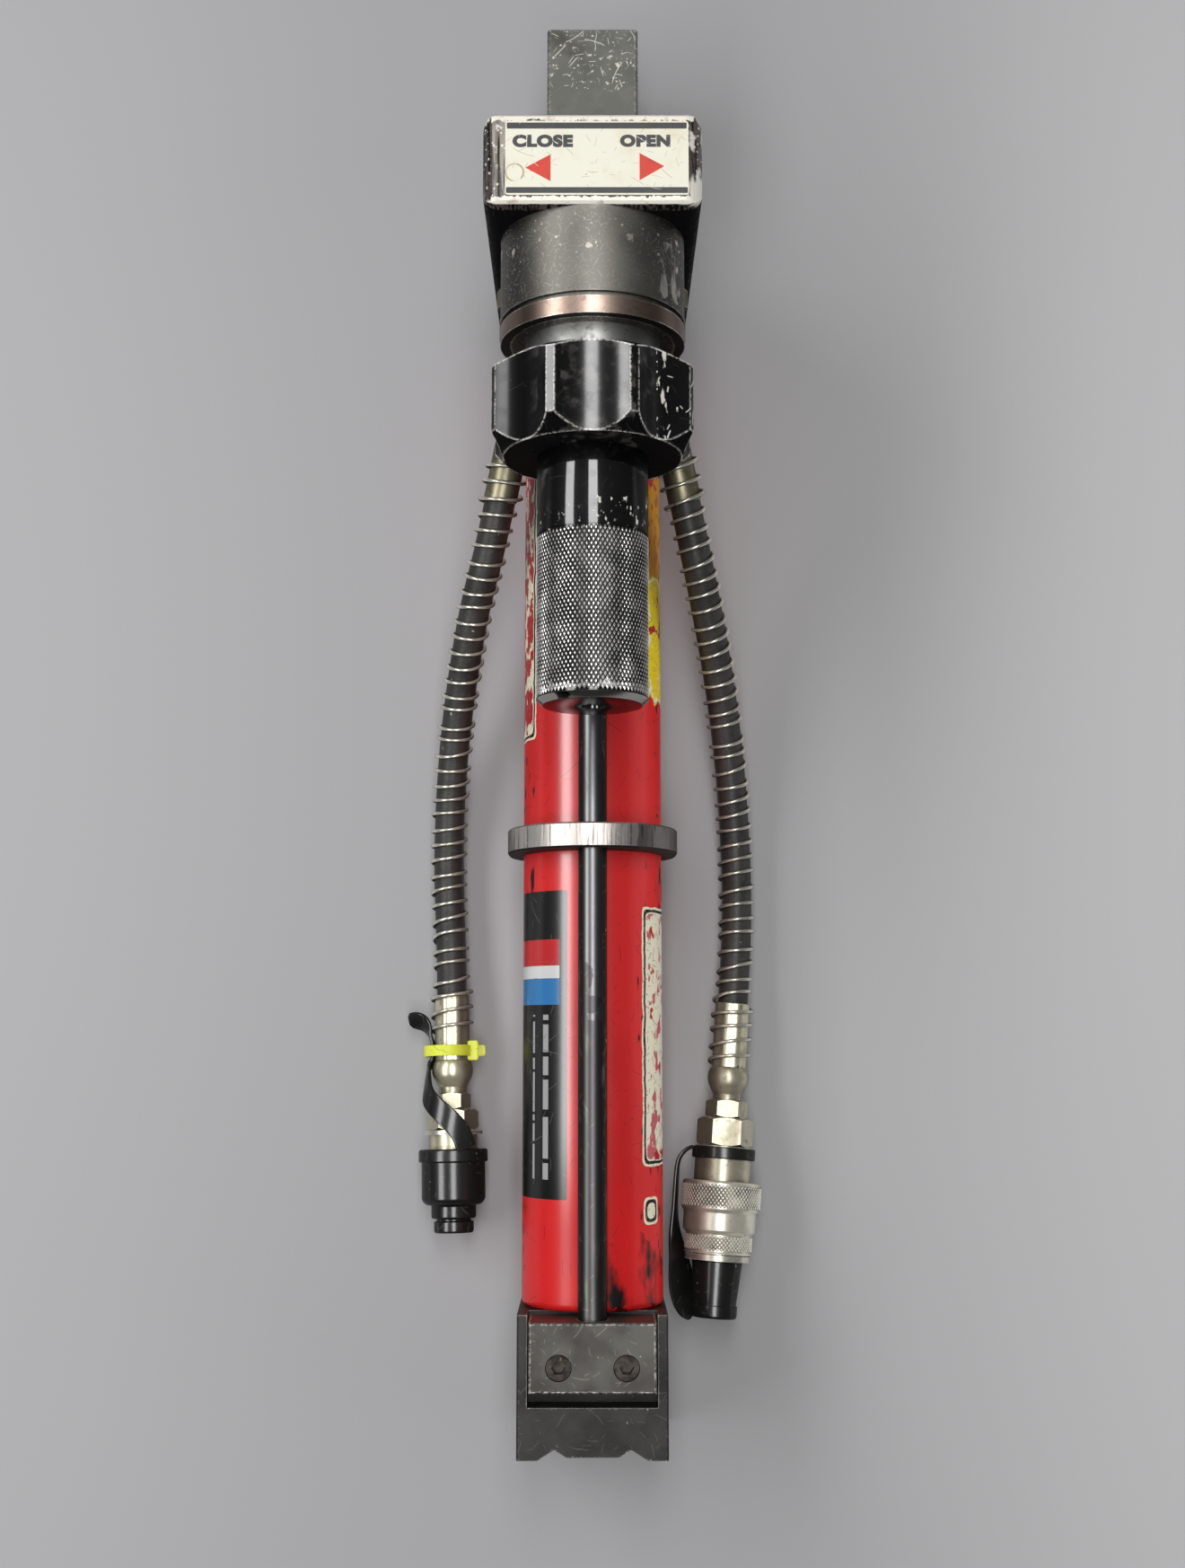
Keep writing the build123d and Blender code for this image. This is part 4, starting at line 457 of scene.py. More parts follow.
class Finish:
    """A material built up in layers: one plain finish, then wear, marks and dirt over it."""

    sockets = {"coat_roughness": "Coat Roughness", "coat_ior": "Coat IOR", "specular": "Specular IOR Level"}

    def __init__(self, name, colour, roughness, metallic=0.0, **settings):
        self.material = bpy.data.materials.new(name + "_finish")
        self.material.use_nodes = True
        self.tree = self.material.node_tree
        self.shader = self.tree.nodes["Principled BSDF"]
        for setting, value in settings.items():
            self.shader.inputs[self.sockets[setting]].default_value = value
        self.colour = colour
        self.roughness = roughness
        self.metallic = metallic
        self.coat = 0.0
        self.height = None

    def mask(self, effect_name, **inputs):
        """Mask of a shader group with its own values."""
        group = add(self.tree, "ShaderNodeGroup", inputs, node_tree=bpy.data.node_groups[effect_name])
        return group.outputs["Mask"]

    def zone(self, axis, start, end, ragged=0.0, grain=300.0):
        """Between two places along an axis, with a ragged border if wanted."""
        return self.mask("zone", Axis=axis, Start=start, End=end, Ragged=ragged, Grain=grain)

    def patches(self, scale, low, high, stretch=no_stretch, detail=5.0):
        """Cloudy areas where noise passes from low to high."""
        return self.mask("patches", Scale=scale, Stretch=stretch, Low=low, High=high, Detail=detail)

    def footwards(self, start, end):
        """Where the surface looks to the foot: none at start and all at end, of 0 sideways to 1 straight."""
        return self.mask("facing", Axis=(0.0, -1.0, 0.0), Start=start, End=end)

    def both(self, *masks):
        """Where all the masks are; None stands for everywhere."""
        return product(self.tree, *[mask for mask in masks if mask is not None])

    def either(self, first, *others):
        """Where one of the masks is."""
        for other in others:
            first = maths(self.tree, "MAXIMUM", first, other)
        return first

    def without(self, mask, other):
        """Where a mask is and another isn't."""
        return product(self.tree, mask, maths(self.tree, "SUBTRACT", 1.0, other))

    def faint(self, mask, share):
        """A mask at part of its strength."""
        return product(self.tree, mask, share)

    def between(self, depth, start, end=None):
        """Where a sticker's depth is over start and, if given, under end."""
        inner = spread(self.tree, depth, start, start + border)
        return inner if end is None else self.without(inner, spread(self.tree, depth, end, end + border))

    def over(self, mask, colour=None, roughness=None, metallic=None, lift=None, coat=None):
        """A layer where the mask is 1; lift is its height in metres."""
        if colour is not None:
            mix = add(self.tree, "ShaderNodeMix", data_type="RGBA")
            for index, value in {0: mask, 6: self.colour, 7: colour}.items():
                feed(self.tree, mix.inputs[index], value)
            self.colour = mix.outputs[2]
        if roughness is not None:
            self.roughness = chosen(self.tree, mask, self.roughness, roughness)
        if metallic is not None:
            self.metallic = chosen(self.tree, mask, self.metallic, metallic)
        if coat is not None:
            self.coat = chosen(self.tree, mask, self.coat, coat)
        if lift is not None:
            step = product(self.tree, mask, lift)
            self.height = step if self.height is None else maths(self.tree, "ADD", self.height, step)

    def scratched(self, colour, cell, share, strength=1.0, roughness=0.35, width=fine_scratch, within=None):
        """Scratches of one colour in two sizes."""
        for size in scratch_sizes:
            lines = self.mask("scratches", Cell=cell * size, Width=width * (0.5 + 0.5 * size), Share=share)
            self.over(self.both(self.faint(lines, strength), within), colour, roughness)

    def chipped(self, colour, cell, share, size=0.4, metallic=None, within=None, stretch=no_stretch):
        """Loose chips of one colour in two sizes."""
        for part in chip_sizes:
            chips = self.mask("specks", Cell=cell * part, Stretch=stretch, Share=share, Size=size)
            self.over(self.both(chips, within), colour, chip_roughness, metallic)

    def worn(self, colour, reach, amount, grain=500.0, roughness=0.4, metallic=None):
        """Wear along the edges."""
        edges = self.mask("edge_wear", Reach=reach, Amount=amount, Grain=grain)
        self.over(edges, colour, roughness, metallic)

    def clouded(self, colour, scale, low=0.4, high=0.75, roughness=None, stretch=no_stretch, within=None):
        """Soft changes of colour and gloss."""
        self.over(self.both(self.patches(scale, low, high, stretch), within), colour, roughness)

    def glazed(self):
        """Clear gloss, full where it is seen face on and none where it is seen edgeways."""
        facing = add(self.tree, "ShaderNodeLayerWeight", {"Blend": 0.5}).outputs["Facing"]
        self.coat = spread(self.tree, facing, *glaze_fade)

    def shaded_flanks(self, colour, share, start=0.8, end=0.25):
        """Painted shade: darker on the sides, where the surface turns away from looking up."""
        self.over(self.faint(self.mask("facing", Start=start, End=end), share), colour)

    def grained(self, scale, height, stretch=no_stretch):
        """Fine unevenness of the surface."""
        self.over(self.patches(scale, 0.2, 0.8, stretch), lift=height)

    def done(self):
        """The finished material."""
        layers = {"Base Color": self.colour, "Roughness": self.roughness, "Metallic": self.metallic,
                  "Coat Weight": self.coat}
        if self.height is not None:
            layers["Normal"] = made(self.tree, "ShaderNodeBump", {"Height": self.height, "Distance": 1.0})
        for socket, value in layers.items():
            feed(self.tree, self.shader.inputs[socket], value)
        return self.material


# Colours that more than one finish uses
bare_steel = srgb(206, 205, 200)
chalk = srgb(232, 228, 218)
soot = srgb(15, 14, 14)
cream = srgb(244, 238, 212)
torn_red = srgb(186, 34, 52)


def on_tube(left, right, start, end):
    """Bounds of a patch on the tube: angles in degrees from straight up, places along Y in millimetres."""
    return {"Left": math.radians(left), "Right": math.radians(right), "Start": start * mm, "End": end * mm}


# Black label: its bounds, start, end and colour of its bands, sides of its rows and how fine their bars are
label_bounds = (-104, -20.5, -209, -81)
band_right = -27.3755
label_bands = [
    (-129, -118, srgb(52, 128, 190)),
    (-118, -112.5, srgb(228, 228, 228)),
    (-112.5, -101.5, srgb(204, 42, 46)),
]
label_rows = [(-44, -38, 210.0), (-57, -54, 330.0)]
row_places = (-201, -133)

# Torn stickers: how far from the border their line, holes and print are, and for each one its bounds, colour
# of the paper, colour of the print and the noise level where it starts, colour of the line, raggedness
line_insets = (1.0 * mm, 2.2 * mm)
hole_inset = 2.6 * mm
print_inset = 2.8 * mm
torn_stickers = [
    ((44, 112, -196, -87.5), cream, srgb(206, 96, 108), 0.55, soot, 2 * mm),
    ((45, 66, -219.8, -208.2), cream, cream, 0.9, soot, 1 * mm),
    ((-112, -54, -15, 110), cream, torn_red, 0.45, soot, 2 * mm),
    ((50, 112, 46, 110), srgb(214, 146, 24), srgb(166, 100, 12), 0.5, srgb(232, 190, 80), 7 * mm),
    ((50, 98, 2, 58), srgb(250, 220, 30), srgb(250, 240, 170), 0.6, srgb(250, 246, 226), 14 * mm),
]


def tube_label(paint):
    """Plain black label on the tube's left, with colour bands and rows of bars for its print."""
    left = label_bounds[0]
    plate = paint.between(paint.mask("sticker", **on_tube(*label_bounds)), 0.0)
    paint.over(plate, srgb(17, 17, 18), 0.3, lift=0.1 * mm)
    for start, end, colour in label_bands:
        band = paint.mask("sticker", **on_tube(left, band_right, start, end), Corner=0.0005)
        paint.over(paint.between(band, 0.0), colour, 0.25)
    for row_left, row_right, fineness in label_rows:
        row = paint.mask("sticker", **on_tube(row_left, row_right, *row_places), Corner=0.0002)
        bars = paint.patches(fineness, 0.4, 0.41, (0.0, 1.0, 0.0), detail=0.0)
        paint.over(paint.both(paint.between(row, 0.0), bars), srgb(176, 176, 178), 0.3)
    paint.scratched(srgb(96, 96, 98), 0.014, 0.5, 0.6, width=coarse_scratch, within=plate)


def torn_sticker(paint, bounds, paper_colour, print_colour, print_start, line_colour, ragged):
    """What is left of a sticker: ragged paper, a line inside its border and patches of old print."""
    paper = paint.mask("sticker", **on_tube(*bounds), Corner=0.005, Ragged=ragged, Grain=130.0)
    whole = paint.between(paper, 0.0)
    paint.over(whole, paper_colour, 0.6, lift=0.12 * mm, coat=0.0)
    faded = paint.patches(210.0, print_start, print_start + 0.05, (1.0, 0.6, 1.0))
    paint.over(paint.both(faded, paint.between(paper, print_inset)), print_colour, 0.45)
    paint.over(paint.between(paper, *line_insets), line_colour, 0.4)
    small_holes = paint.mask("specks", Cell=0.009, Share=0.3, Size=0.35)
    holes = paint.either(small_holes, paint.patches(75.0, 0.63, 0.64))
    paint.over(paint.both(paint.between(paper, hole_inset), holes), srgb(190, 18, 26), 0.35)
    paint.scratched(srgb(150, 128, 96), 0.006, 0.6, 0.8, width=coarse_scratch, within=whole)


def red_paint():
    """Red enamel of the tube: clouds, chips, soot near the foot, and its labels."""
    paint = Finish("red_paint", srgb(227, 34, 36), 0.42, coat_roughness=0.22, coat_ior=2.05, specular=0.3)
    paint.glazed()
    paint.clouded(srgb(194, 20, 25), 26.0, 0.45, 0.8, 0.4, stretch=(1.0, 0.35, 1.0))
    paint.clouded(srgb(222, 52, 54), 70.0, 0.6, 0.85, 0.42)
    paint.scratched(srgb(110, 8, 16), 0.016, 0.35, 0.7)
    paint.chipped(soot, 0.007, 0.3, 0.16)
    flanks = paint.either(paint.zone(x_axis, 0.019, 0.04), paint.zone(x_axis, -0.04, -0.025))
    paint.chipped(soot, 0.008, 0.5, 0.42, within=flanks, stretch=(1.0, 0.4, 1.0))
    tail = paint.both(paint.zone(y_axis, -0.256, -0.226, 0.03, 90.0), paint.zone(x_axis, 0.006, 0.04))
    paint.clouded(soot, 90.0, 0.48, 0.68, 0.5, stretch=(1.0, 0.5, 1.0), within=tail)
    along = split(paint.tree, object_place(paint.tree))[1]
    paint.over(spread(paint.tree, along, -0.17, -0.225), coat=0.15)
    tube_label(paint)
    for sticker in torn_stickers:
        torn_sticker(paint, *sticker)
    return paint.done()


def black_gloss(name, base, coat_ior, coat_roughness):
    """Hard black coating with smudges and fine scratches; dull on what looks down the ram."""
    coating = Finish(name, base, 0.4, coat_roughness=coat_roughness, coat_ior=coat_ior, specular=0.1)
    coating.glazed()
    coating.clouded(srgb(15, 15, 15), 55.0, 0.5, 0.8)
    coating.over(coating.patches(130.0, 0.5, 0.75), coat=0.7)
    coating.scratched(srgb(64, 64, 64), 0.012, 0.3, 0.5)
    coating.over(coating.footwards(0.25, 0.5), roughness=0.9, coat=0.0)
    return coating


def collar_black():
    """The lobed collar: rubbed on its left, with white chips on its right lobe."""
    collar = black_gloss("collar_black", srgb(6, 6, 7), 1.9, 0.17)
    middle = collar.zone(x_axis, -0.012, 0.016, 0.01, 90.0)
    collar.clouded(srgb(74, 71, 66), 160.0, 0.44, 0.66, 0.24, within=middle)
    rubbed = collar.zone(x_axis, -0.05, -0.022)
    collar.over(collar.faint(rubbed, 0.5), coat=0.0)
    lobe = collar.without(collar.zone(x_axis, 0.025, 0.05), collar.footwards(0.1, 0.2))
    clusters = collar.patches(60.0, 0.5, 0.56)
    collar.chipped(chalk, 0.004, 0.6, 0.45, within=collar.both(clusters, lobe), stretch=(1.0, 0.4, 1.0))
    collar.scratched(chalk, 0.009, 0.3, width=0.4 * mm, within=lobe)
    collar.worn(chalk, 0.0009, 0.6, 900.0, roughness=0.45)
    return collar.done()


def block_black():
    """The head block: bare streaks round its top, worn borders beside the control label."""
    block = black_gloss("block_black", srgb(6, 6, 7), 1.9, 0.12)
    top = block.zone(z_axis, label_face - 6 * mm, 0.2, 0.004)
    streaks = block.patches(900.0, 0.45, 0.62, (1.0, 0.05, 0.2))
    block.over(block.both(top, streaks), srgb(104, 92, 87), 0.25, 0.3)
    flat = block.zone(z_axis, label_face - 0.9 * mm, 0.2)
    borders = block.either(*[block.zone(y_axis, start, end, 0.004, 420.0) for start, end in block_borders])
    margin = block.zone(x_axis, -0.041, -0.03, 0.006, 260.0)
    block.over(flat, coat=0.25)
    block.over(block.both(flat, margin), srgb(150, 142, 134), 0.35, 0.4)
    columns = block.patches(420.0, 0.5, 0.58, (1.0, 0.06, 1.0))
    block.over(block.both(flat, margin, columns), srgb(58, 54, 52), 0.3, 0.3)
    block.over(block.both(flat, borders), srgb(250, 244, 231), 0.45, 0.1)
    block.clouded(srgb(178, 150, 134), 150.0, 0.56, 0.72, within=block.both(flat, borders))
    sole = block.footwards(0.6, 0.85)
    block.chipped(chalk, 0.004, 0.45, 0.5, within=block.without(top, sole))
    right = block.zone(x_axis, 0.037, 0.05)
    block.chipped(chalk, 0.011, 0.8, 0.6, within=block.both(top, right), stretch=(1.0, 0.6, 1.0))
    edges = block.mask("edge_wear", Reach=0.0016, Amount=0.6, Grain=300.0)
    block.over(block.without(edges, sole), srgb(240, 236, 226), 0.4)
    return block.done()


def pipe_black():
    """The transfer pipe: bright metal along its top with painted shade on its flanks, dull and dusty near the
    foot.
    """
    pipe = Finish("pipe_black", srgb(128, 128, 128), 0.33, 1.0)
    pipe.clouded(srgb(92, 91, 90), 60.0, 0.5, 0.8, 0.4, stretch=(1.0, 0.3, 1.0))
    # Painted shade: the flanks darkened to near black
    pipe.shaded_flanks(srgb(16, 15, 14), 0.93, 0.93, 0.6)
    lower = pipe.zone(y_axis, -0.3, -0.12, 0.12, 40.0)
    pipe.over(pipe.faint(lower, 0.6), srgb(64, 62, 58), 0.42)
    pipe.clouded(srgb(120, 117, 110), 300.0, 0.56, 0.75, 0.4, stretch=(1.0, 0.2, 1.0), within=lower)
    pipe.scratched(srgb(150, 148, 142), 0.009, 0.3, 0.6)
    pipe.chipped(chalk, 0.008, 0.2, 0.16)
    return pipe.done()


def housing_black():
    """The valve housing: dull black steel with many fine scratches, a rubbed patch and painted shade on its
    flanks.
    """
    housing = Finish("housing_black", srgb(136, 133, 126), 0.46, 0.95)
    housing.clouded(srgb(152, 149, 141), 45.0, roughness=0.52)
    # Painted shade: darker flanks
    housing.shaded_flanks(srgb(42, 39, 36), 0.8, 0.95, 0.55)
    housing.scratched(srgb(184, 181, 172), 0.0045, 0.9, 0.6, 0.4)
    rear = housing.zone(y_axis, 0.158, 0.19, 0.02, 120.0)
    housing.chipped(srgb(214, 208, 196), 0.005, 0.3, 0.4, within=rear)
    housing.chipped(srgb(190, 186, 176), 0.006, 0.2, 0.18)
    flank = housing.both(housing.zone(x_axis, 0.027, 0.034, 0.006),
                         housing.zone(y_axis, 0.146, 0.168, 0.008))
    housing.clouded(srgb(186, 182, 174), 210.0, 0.45, 0.62, 0.5, stretch=(1.0, 0.4, 1.0), within=flank)
    housing.worn(srgb(150, 148, 142), 0.0008, 0.6, metallic=1.0)
    return housing.done()


def head_steel():
    """The push head: grey steel, scratched white at its end."""
    head = Finish("head_steel", srgb(120, 121, 114), 0.42, 0.45)
    head.clouded(srgb(132, 131, 124), 90.0, 0.45, 0.7, 0.5)
    head.clouded(srgb(92, 88, 82), 60.0, 0.55, 0.8)
    end = head.zone(y_axis, 0.284, 0.32, 0.03, 80.0)
    head.scratched(srgb(232, 229, 220), 0.013, 0.8, 1.0, 0.35, width=coarse_scratch, within=end)
    head.scratched(bare_steel, 0.008, 0.6, 0.8, 0.35, within=end)
    head.chipped(srgb(238, 234, 222), 0.004, 0.5, 0.36, within=end)
    head.scratched(srgb(146, 146, 140), 0.014, 0.3, 0.4)
    head.chipped(srgb(190, 187, 178), 0.008, 0.15, 0.16)
    head.worn(bare_steel, 0.0013, 0.55, 700.0, metallic=0.8)
    return head.done()


def port_steel():
    """The port block: grey steel with bright edges and painted shade, near black, on the side that looks to
    the foot.
    """
    port = Finish("port_steel", srgb(82, 80, 75), 0.42, 0.5)
    port.clouded(srgb(66, 63, 58), 70.0, roughness=0.5)
    port.scratched(srgb(140, 136, 127), 0.009, 0.4, 0.5)
    port.chipped(srgb(190, 186, 176), 0.007, 0.25, 0.16)
    # Painted shade: the side that looks to the foot near black
    port.over(port.footwards(0.3, 0.5), srgb(9, 9, 9), 0.8, 0.0)
    edges = port.mask("edge_wear", Reach=0.0009, Amount=0.56, Grain=800.0)
    screws = port.both(port.zone(y_axis, -0.279, -0.263), port.zone(x_axis, -0.022, 0.022))
    port.over(port.without(edges, screws), srgb(214, 210, 200), 0.4, 0.6)
    return port.done()


def foot_black():
    """The foot: blackened steel with a fine grain."""
    foot = Finish("foot_black", srgb(55, 54, 51), 0.5, 0.35)
    foot.clouded(srgb(42, 41, 39), 60.0, roughness=0.58)
    foot.scratched(srgb(104, 102, 96), 0.011, 0.45, 0.45)
    foot.chipped(srgb(180, 176, 166), 0.007, 0.25, 0.15)
    foot.worn(srgb(132, 129, 120), 0.001, 0.46, 900.0, metallic=0.5)
    foot.grained(1400.0, 0.04 * mm)
    return foot.done()


def worn_steel():
    """The pipe's ring: bare steel with scars along the ram, with painted shade on its flanks, its lower side
    and its right side.
    """
    ring = Finish("worn_steel", srgb(226, 219, 213), 0.42, 1.0)
    ring.clouded(srgb(126, 119, 116), 900.0, 0.5, 0.66, 0.48, stretch=(1.0, 0.04, 1.0))
    ring.clouded(srgb(236, 231, 226), 320.0, 0.52, 0.64, stretch=(1.0, 0.1, 1.0))
    ring.clouded(srgb(52, 46, 45), 700.0, 0.66, 0.7, 0.5, stretch=(1.0, 0.05, 1.0))
    ring.scratched(srgb(240, 236, 230), 0.004, 0.5, 0.7, width=coarse_scratch)
    ring.worn(srgb(238, 234, 228), 0.0009, 0.6, 900.0)
    # Painted shade: darker flanks and a near-black side that looks to the foot
    ring.shaded_flanks(srgb(66, 60, 57), 0.6)
    ring.over(ring.footwards(0.1, 0.3), srgb(20, 17, 16), 0.7, 0.2)
    # Painted shade: the right side darker
    right = ring.zone(x_axis, 0.019, 0.06, 0.004)
    ring.over(ring.faint(right, 0.5), srgb(60, 54, 51))
    ring.grained(900.0, 0.05 * mm, (1.0, 0.05, 1.0))
    return ring.done()


def bright_metal(name, colour, roughness, shade, metallic, flank):
    """Plated or turned metal with dull patches, dark pits and bright edges, and painted shade on its flanks,
    on what looks inward and on what looks to the foot.
    """
    metal = Finish(name, colour, roughness, metallic)
    metal.clouded(shade, 75.0, 0.45, 0.8, roughness + 0.14)
    metal.clouded(shade, 260.0, 0.55, 0.75, roughness + 0.1)
    metal.scratched(shade, 0.006, 0.5, 0.5)
    metal.chipped(srgb(58, 52, 44), 0.006, 0.25, 0.12, metallic=0.4)
    # Painted shade: the flanks, what looks towards the ram's middle and what looks to the foot are darkened
    painted_shade = darker(shade, 0.2)
    metal.shaded_flanks(painted_shade, 0.8, *flank)
    metal.over(metal.faint(metal.mask("inward", Start=0.15, End=0.75), 0.85), painted_shade, 0.6, 0.2)
    metal.over(metal.footwards(0.7, 0.9), srgb(40, 36, 32), 0.6)
    metal.worn(srgb(236, 232, 222), 0.0006, 0.5, 900.0, 0.3)
    return metal.done()


def screw_steel():
    """Dark brown screws."""
    screw = Finish("screw_steel", srgb(44, 38, 34), 0.3, 0.8)
    screw.clouded(srgb(26, 22, 19), 240.0, 0.4, 0.7, 0.42)
    screw.chipped(srgb(120, 108, 96), 0.003, 0.3, 0.2)
    return screw.done()


def rubber(name, base, roughness, shade, grain_height, glossy):
    """Moulded rubber: dull and shiny patches, pale scuffs and a fine grain."""
    skin = Finish(name, base, roughness, specular=0.3 if glossy else 0.8, coat_roughness=0.2, coat_ior=1.75)
    if glossy:
        skin.glazed()
    skin.clouded(shade, 60.0, 0.45, 0.8, min(1.0, roughness + 0.2))
    skin.scratched(srgb(96, 95, 92), 0.01, 0.4, 0.5, 0.6, width=coarse_scratch)
    skin.chipped(srgb(150, 146, 136), 0.008, 0.2, 0.12)
    skin.over(skin.mask("inward", Start=0.15, End=0.6), roughness=0.8, coat=0.0)
    skin.grained(1800.0, grain_height)
    return skin.done()


def hose_rubber():
    """Hose rubber, with painted shade on its flanks."""
    hose = Finish("hose_rubber", srgb(60, 59, 56), 0.42)
    hose.clouded(srgb(40, 39, 38), 90.0, roughness=0.5)
    hose.clouded(srgb(72, 70, 66), 420.0, 0.55, 0.8)
    # Painted shade: darker flanks
    hose.shaded_flanks(srgb(18, 17, 16), 0.85, 0.85, 0.2)
    hose.chipped(srgb(180, 176, 166), 0.012, 0.15, 0.14)
    hose.grained(1500.0, 0.06 * mm, (0.3, 1.0, 0.3))
    return hose.done()


def tie_yellow():
    """Yellow nylon of the cable tie."""
    tie = Finish("tie_yellow", srgb(247, 255, 82), 0.38)
    tie.clouded(srgb(238, 252, 70), 120.0, 0.45, 0.8, 0.5)
    tie.scratched(srgb(180, 188, 40), 0.006, 0.4, 0.6, width=coarse_scratch)
    return tie.done()


def label_cream():
    """Cream plate of the control label, stained, with a ring mark on its left."""
    label = Finish("label_cream", srgb(249, 246, 228), 0.4)
    label.clouded(srgb(240, 231, 202), 70.0, 0.5, 0.8, 0.5)
    label.clouded(srgb(220, 204, 166), 200.0, 0.66, 0.8)
    label.scratched(srgb(190, 176, 142), 0.011, 0.45, 0.7)
    label.chipped(srgb(110, 98, 78), 0.007, 0.2, 0.1)
    ring = measure(label.tree, "DISTANCE", object_place(label.tree), ring_stain_middle)
    stain = label.patches(180.0, 0.4, 0.6)
    label.over(label.both(label.between(ring, *ring_stain_radii), stain), srgb(186, 168, 128))
    return label.done()


def label_print(name, colour):
    """Printing ink on the label, cracked and rubbed."""
    ink = Finish(name, colour, 0.4)
    ink.clouded(darker(colour, 0.75), 160.0, 0.45, 0.8)
    ink.scratched(srgb(236, 232, 216), 0.012, 0.2, 0.7)
    ink.chipped(srgb(236, 232, 216), 0.006, 0.15, 0.1)
    return ink.done()


def grip_black():
    """The grip's smooth part: black gloss, chipped where the knurl starts, with a polished rim."""
    grip = black_gloss("grip_black", srgb(5, 5, 6), 1.95, 0.08)
    knurl_place = block_face - knurl_start
    border_zone = grip.zone(y_axis, knurl_place, knurl_place + 10 * mm, 0.014, 200.0)
    clusters = grip.patches(90.0, 0.44, 0.52)
    grip.chipped(chalk, 0.0032, 0.55, 0.55, within=grip.both(border_zone, clusters), stretch=(1.0, 0.5, 1.0))
    end_face = grip.footwards(0.8, 0.9)
    grip.over(end_face, roughness=0.22)
    rim = grip.without(grip.footwards(0.4, 0.6), end_face)
    grip.over(rim, srgb(170, 168, 163), 0.16, 1.0)
    grip.clouded(srgb(40, 39, 38), 90.0, 0.52, 0.58, within=rim)
    return grip.done()


def knurl_finish(name, groove, top, metallic, level, change, worn_from, worn_to):
    """Knurled metal: dark in the grooves, bright on the worn tops, most of all in one zone along Y, with
    painted shade on the side that looks inward.
    """
    most_worn = 0.45
    softness = 0.25
    metal = Finish(name, groove, 0.42, 0.3)
    peak = add(metal.tree, "ShaderNodeAttribute", attribute_name="peak").outputs["Fac"]
    cloud = metal.patches(110.0, 0.3, 0.7)
    most = metal.zone(y_axis, worn_from, worn_to, 0.008, 200.0)
    height = maths(metal.tree, "MULTIPLY_ADD", cloud, change, peak)
    height = maths(metal.tree, "MULTIPLY_ADD", most, most_worn, height)
    metal.over(spread(metal.tree, height, level, level + softness), top, 0.26, metallic)
    # Painted shade: the side that looks towards the ram's middle darkened
    inner_side = metal.faint(metal.mask("inward", Start=0.1, End=0.7), 0.8)
    metal.over(inner_side, darker(top, 0.3), 0.6, 0.0)
    return metal.done()


# Finishes by name: those with a function of their own, metals, rubbers, prints and knurls
finishes = {}
for make in (red_paint, block_black, foot_black, collar_black, pipe_black, housing_black, worn_steel,
             port_steel, head_steel, screw_steel, hose_rubber, tie_yellow, label_cream, grip_black):
    finishes[make.__name__] = make()

# Metals: colour, shade, roughness, how metallic, and where the painted shade on their flanks starts and ends
metals = {
    "rod_chrome": ((222, 224, 227), (190, 192, 196), 0.1, 1.0, (0.0, -0.9)),
    "inner_steel": ((196, 196, 192), (146, 146, 143), 0.4, 1.0, (0.9, 0.35)),
    "bronze": ((208, 183, 168), (154, 128, 117), 0.34, 1.0, (0.99, 0.68)),
    "zinc": ((168, 160, 134), (124, 116, 92), 0.38, 0.85, (0.9, 0.35)),
    "pale_brass": ((240, 234, 206), (190, 181, 148), 0.3, 0.75, (0.75, 0.2)),
    "nickel": ((218, 211, 188), (160, 152, 130), 0.32, 0.72, (0.6, 0.0)),
    "sleeve_nickel": ((252, 248, 231), (218, 212, 192), 0.3, 0.7, (0.5, -0.1)),
    "spring_steel": ((244, 239, 225), (200, 193, 176), 0.28, 0.8, (0.45, 0.0)),
}
for name, (colour, shade, roughness, metallic, flank) in metals.items():
    finishes[name] = bright_metal(name, srgb(*colour), roughness, srgb(*shade), metallic, flank)

# Rubbers: colour, shade, roughness, height of the grain, and whether they have a clear gloss
rubbers = {
    "black_rubber": ((19, 19, 18), (26, 25, 23), 0.36, 0.012 * mm, True),
    "seal_rubber": ((20, 20, 20), (34, 33, 32), 0.45, 0.02 * mm, False),
    "wear_plastic": ((60, 50, 44), (44, 36, 32), 0.5, 0.02 * mm, False),
}
for name, (colour, shade, roughness, grain_height, glossy) in rubbers.items():
    finishes[name] = rubber(name, srgb(*colour), roughness, srgb(*shade), grain_height, glossy)

for name, colour in {"dark_print": (70, 70, 73), "red_print": (226, 64, 44)}.items():
    finishes[name] = label_print(name, srgb(*colour))

# Knurls: colours of grooves and tops, how metallic, level and change of the worn tops, and the most worn zone
knurls = {
    "grip_knurl": ((9, 9, 9), (242, 240, 236), 0.85, 0.72, 0.36, block_face - grip_end,
                   block_face - grip_end + 6 * mm),
    "sleeve_knurl": ((13, 12, 10), (255, 251, 236), 0.4, 0.36, 0.34, -0.5, -0.4),
}
for name, (groove, top, *wear) in knurls.items():
    finishes[name] = knurl_finish(name, srgb(*groove), srgb(*top), *wear)

for subpart in frame["record"]["subparts"]:
    for material_slot in frame["nodes"][subpart["node"]].material_slots:
        material_slot.material = finishes[subpart["material_slot"]]


# Ways to make pieces
def line_frame(start, direction):
    """Frame whose y axis runs along a line, with x to its side and z as far up as can be."""
    run = Vector(direction).normalized()
    side = run.cross(Vector(z_axis)).normalized()
    return Matrix.Translation(start) @ Matrix((side, run, side.cross(run))).transposed().to_4x4()


def placed(name, data):
    """A new object in the scene."""
    thing = bpy.data.objects.new(name, data)
    scene.collection.objects.link(thing)
    return thing


def plain_mesh(thing):
    """The mesh that an object comes to, with its modifiers."""
    return bpy.data.meshes.new_from_object(thing.evaluated_get(bpy.context.evaluated_depsgraph_get()))


def mesh_of(name, shape):
    """A mesh from a bmesh, with its faces turned outwards."""
    bmesh.ops.recalc_face_normals(shape, faces=shape.faces)
    mesh = bpy.data.meshes.new(name)
    shape.to_mesh(mesh)
    shape.free()
    return mesh


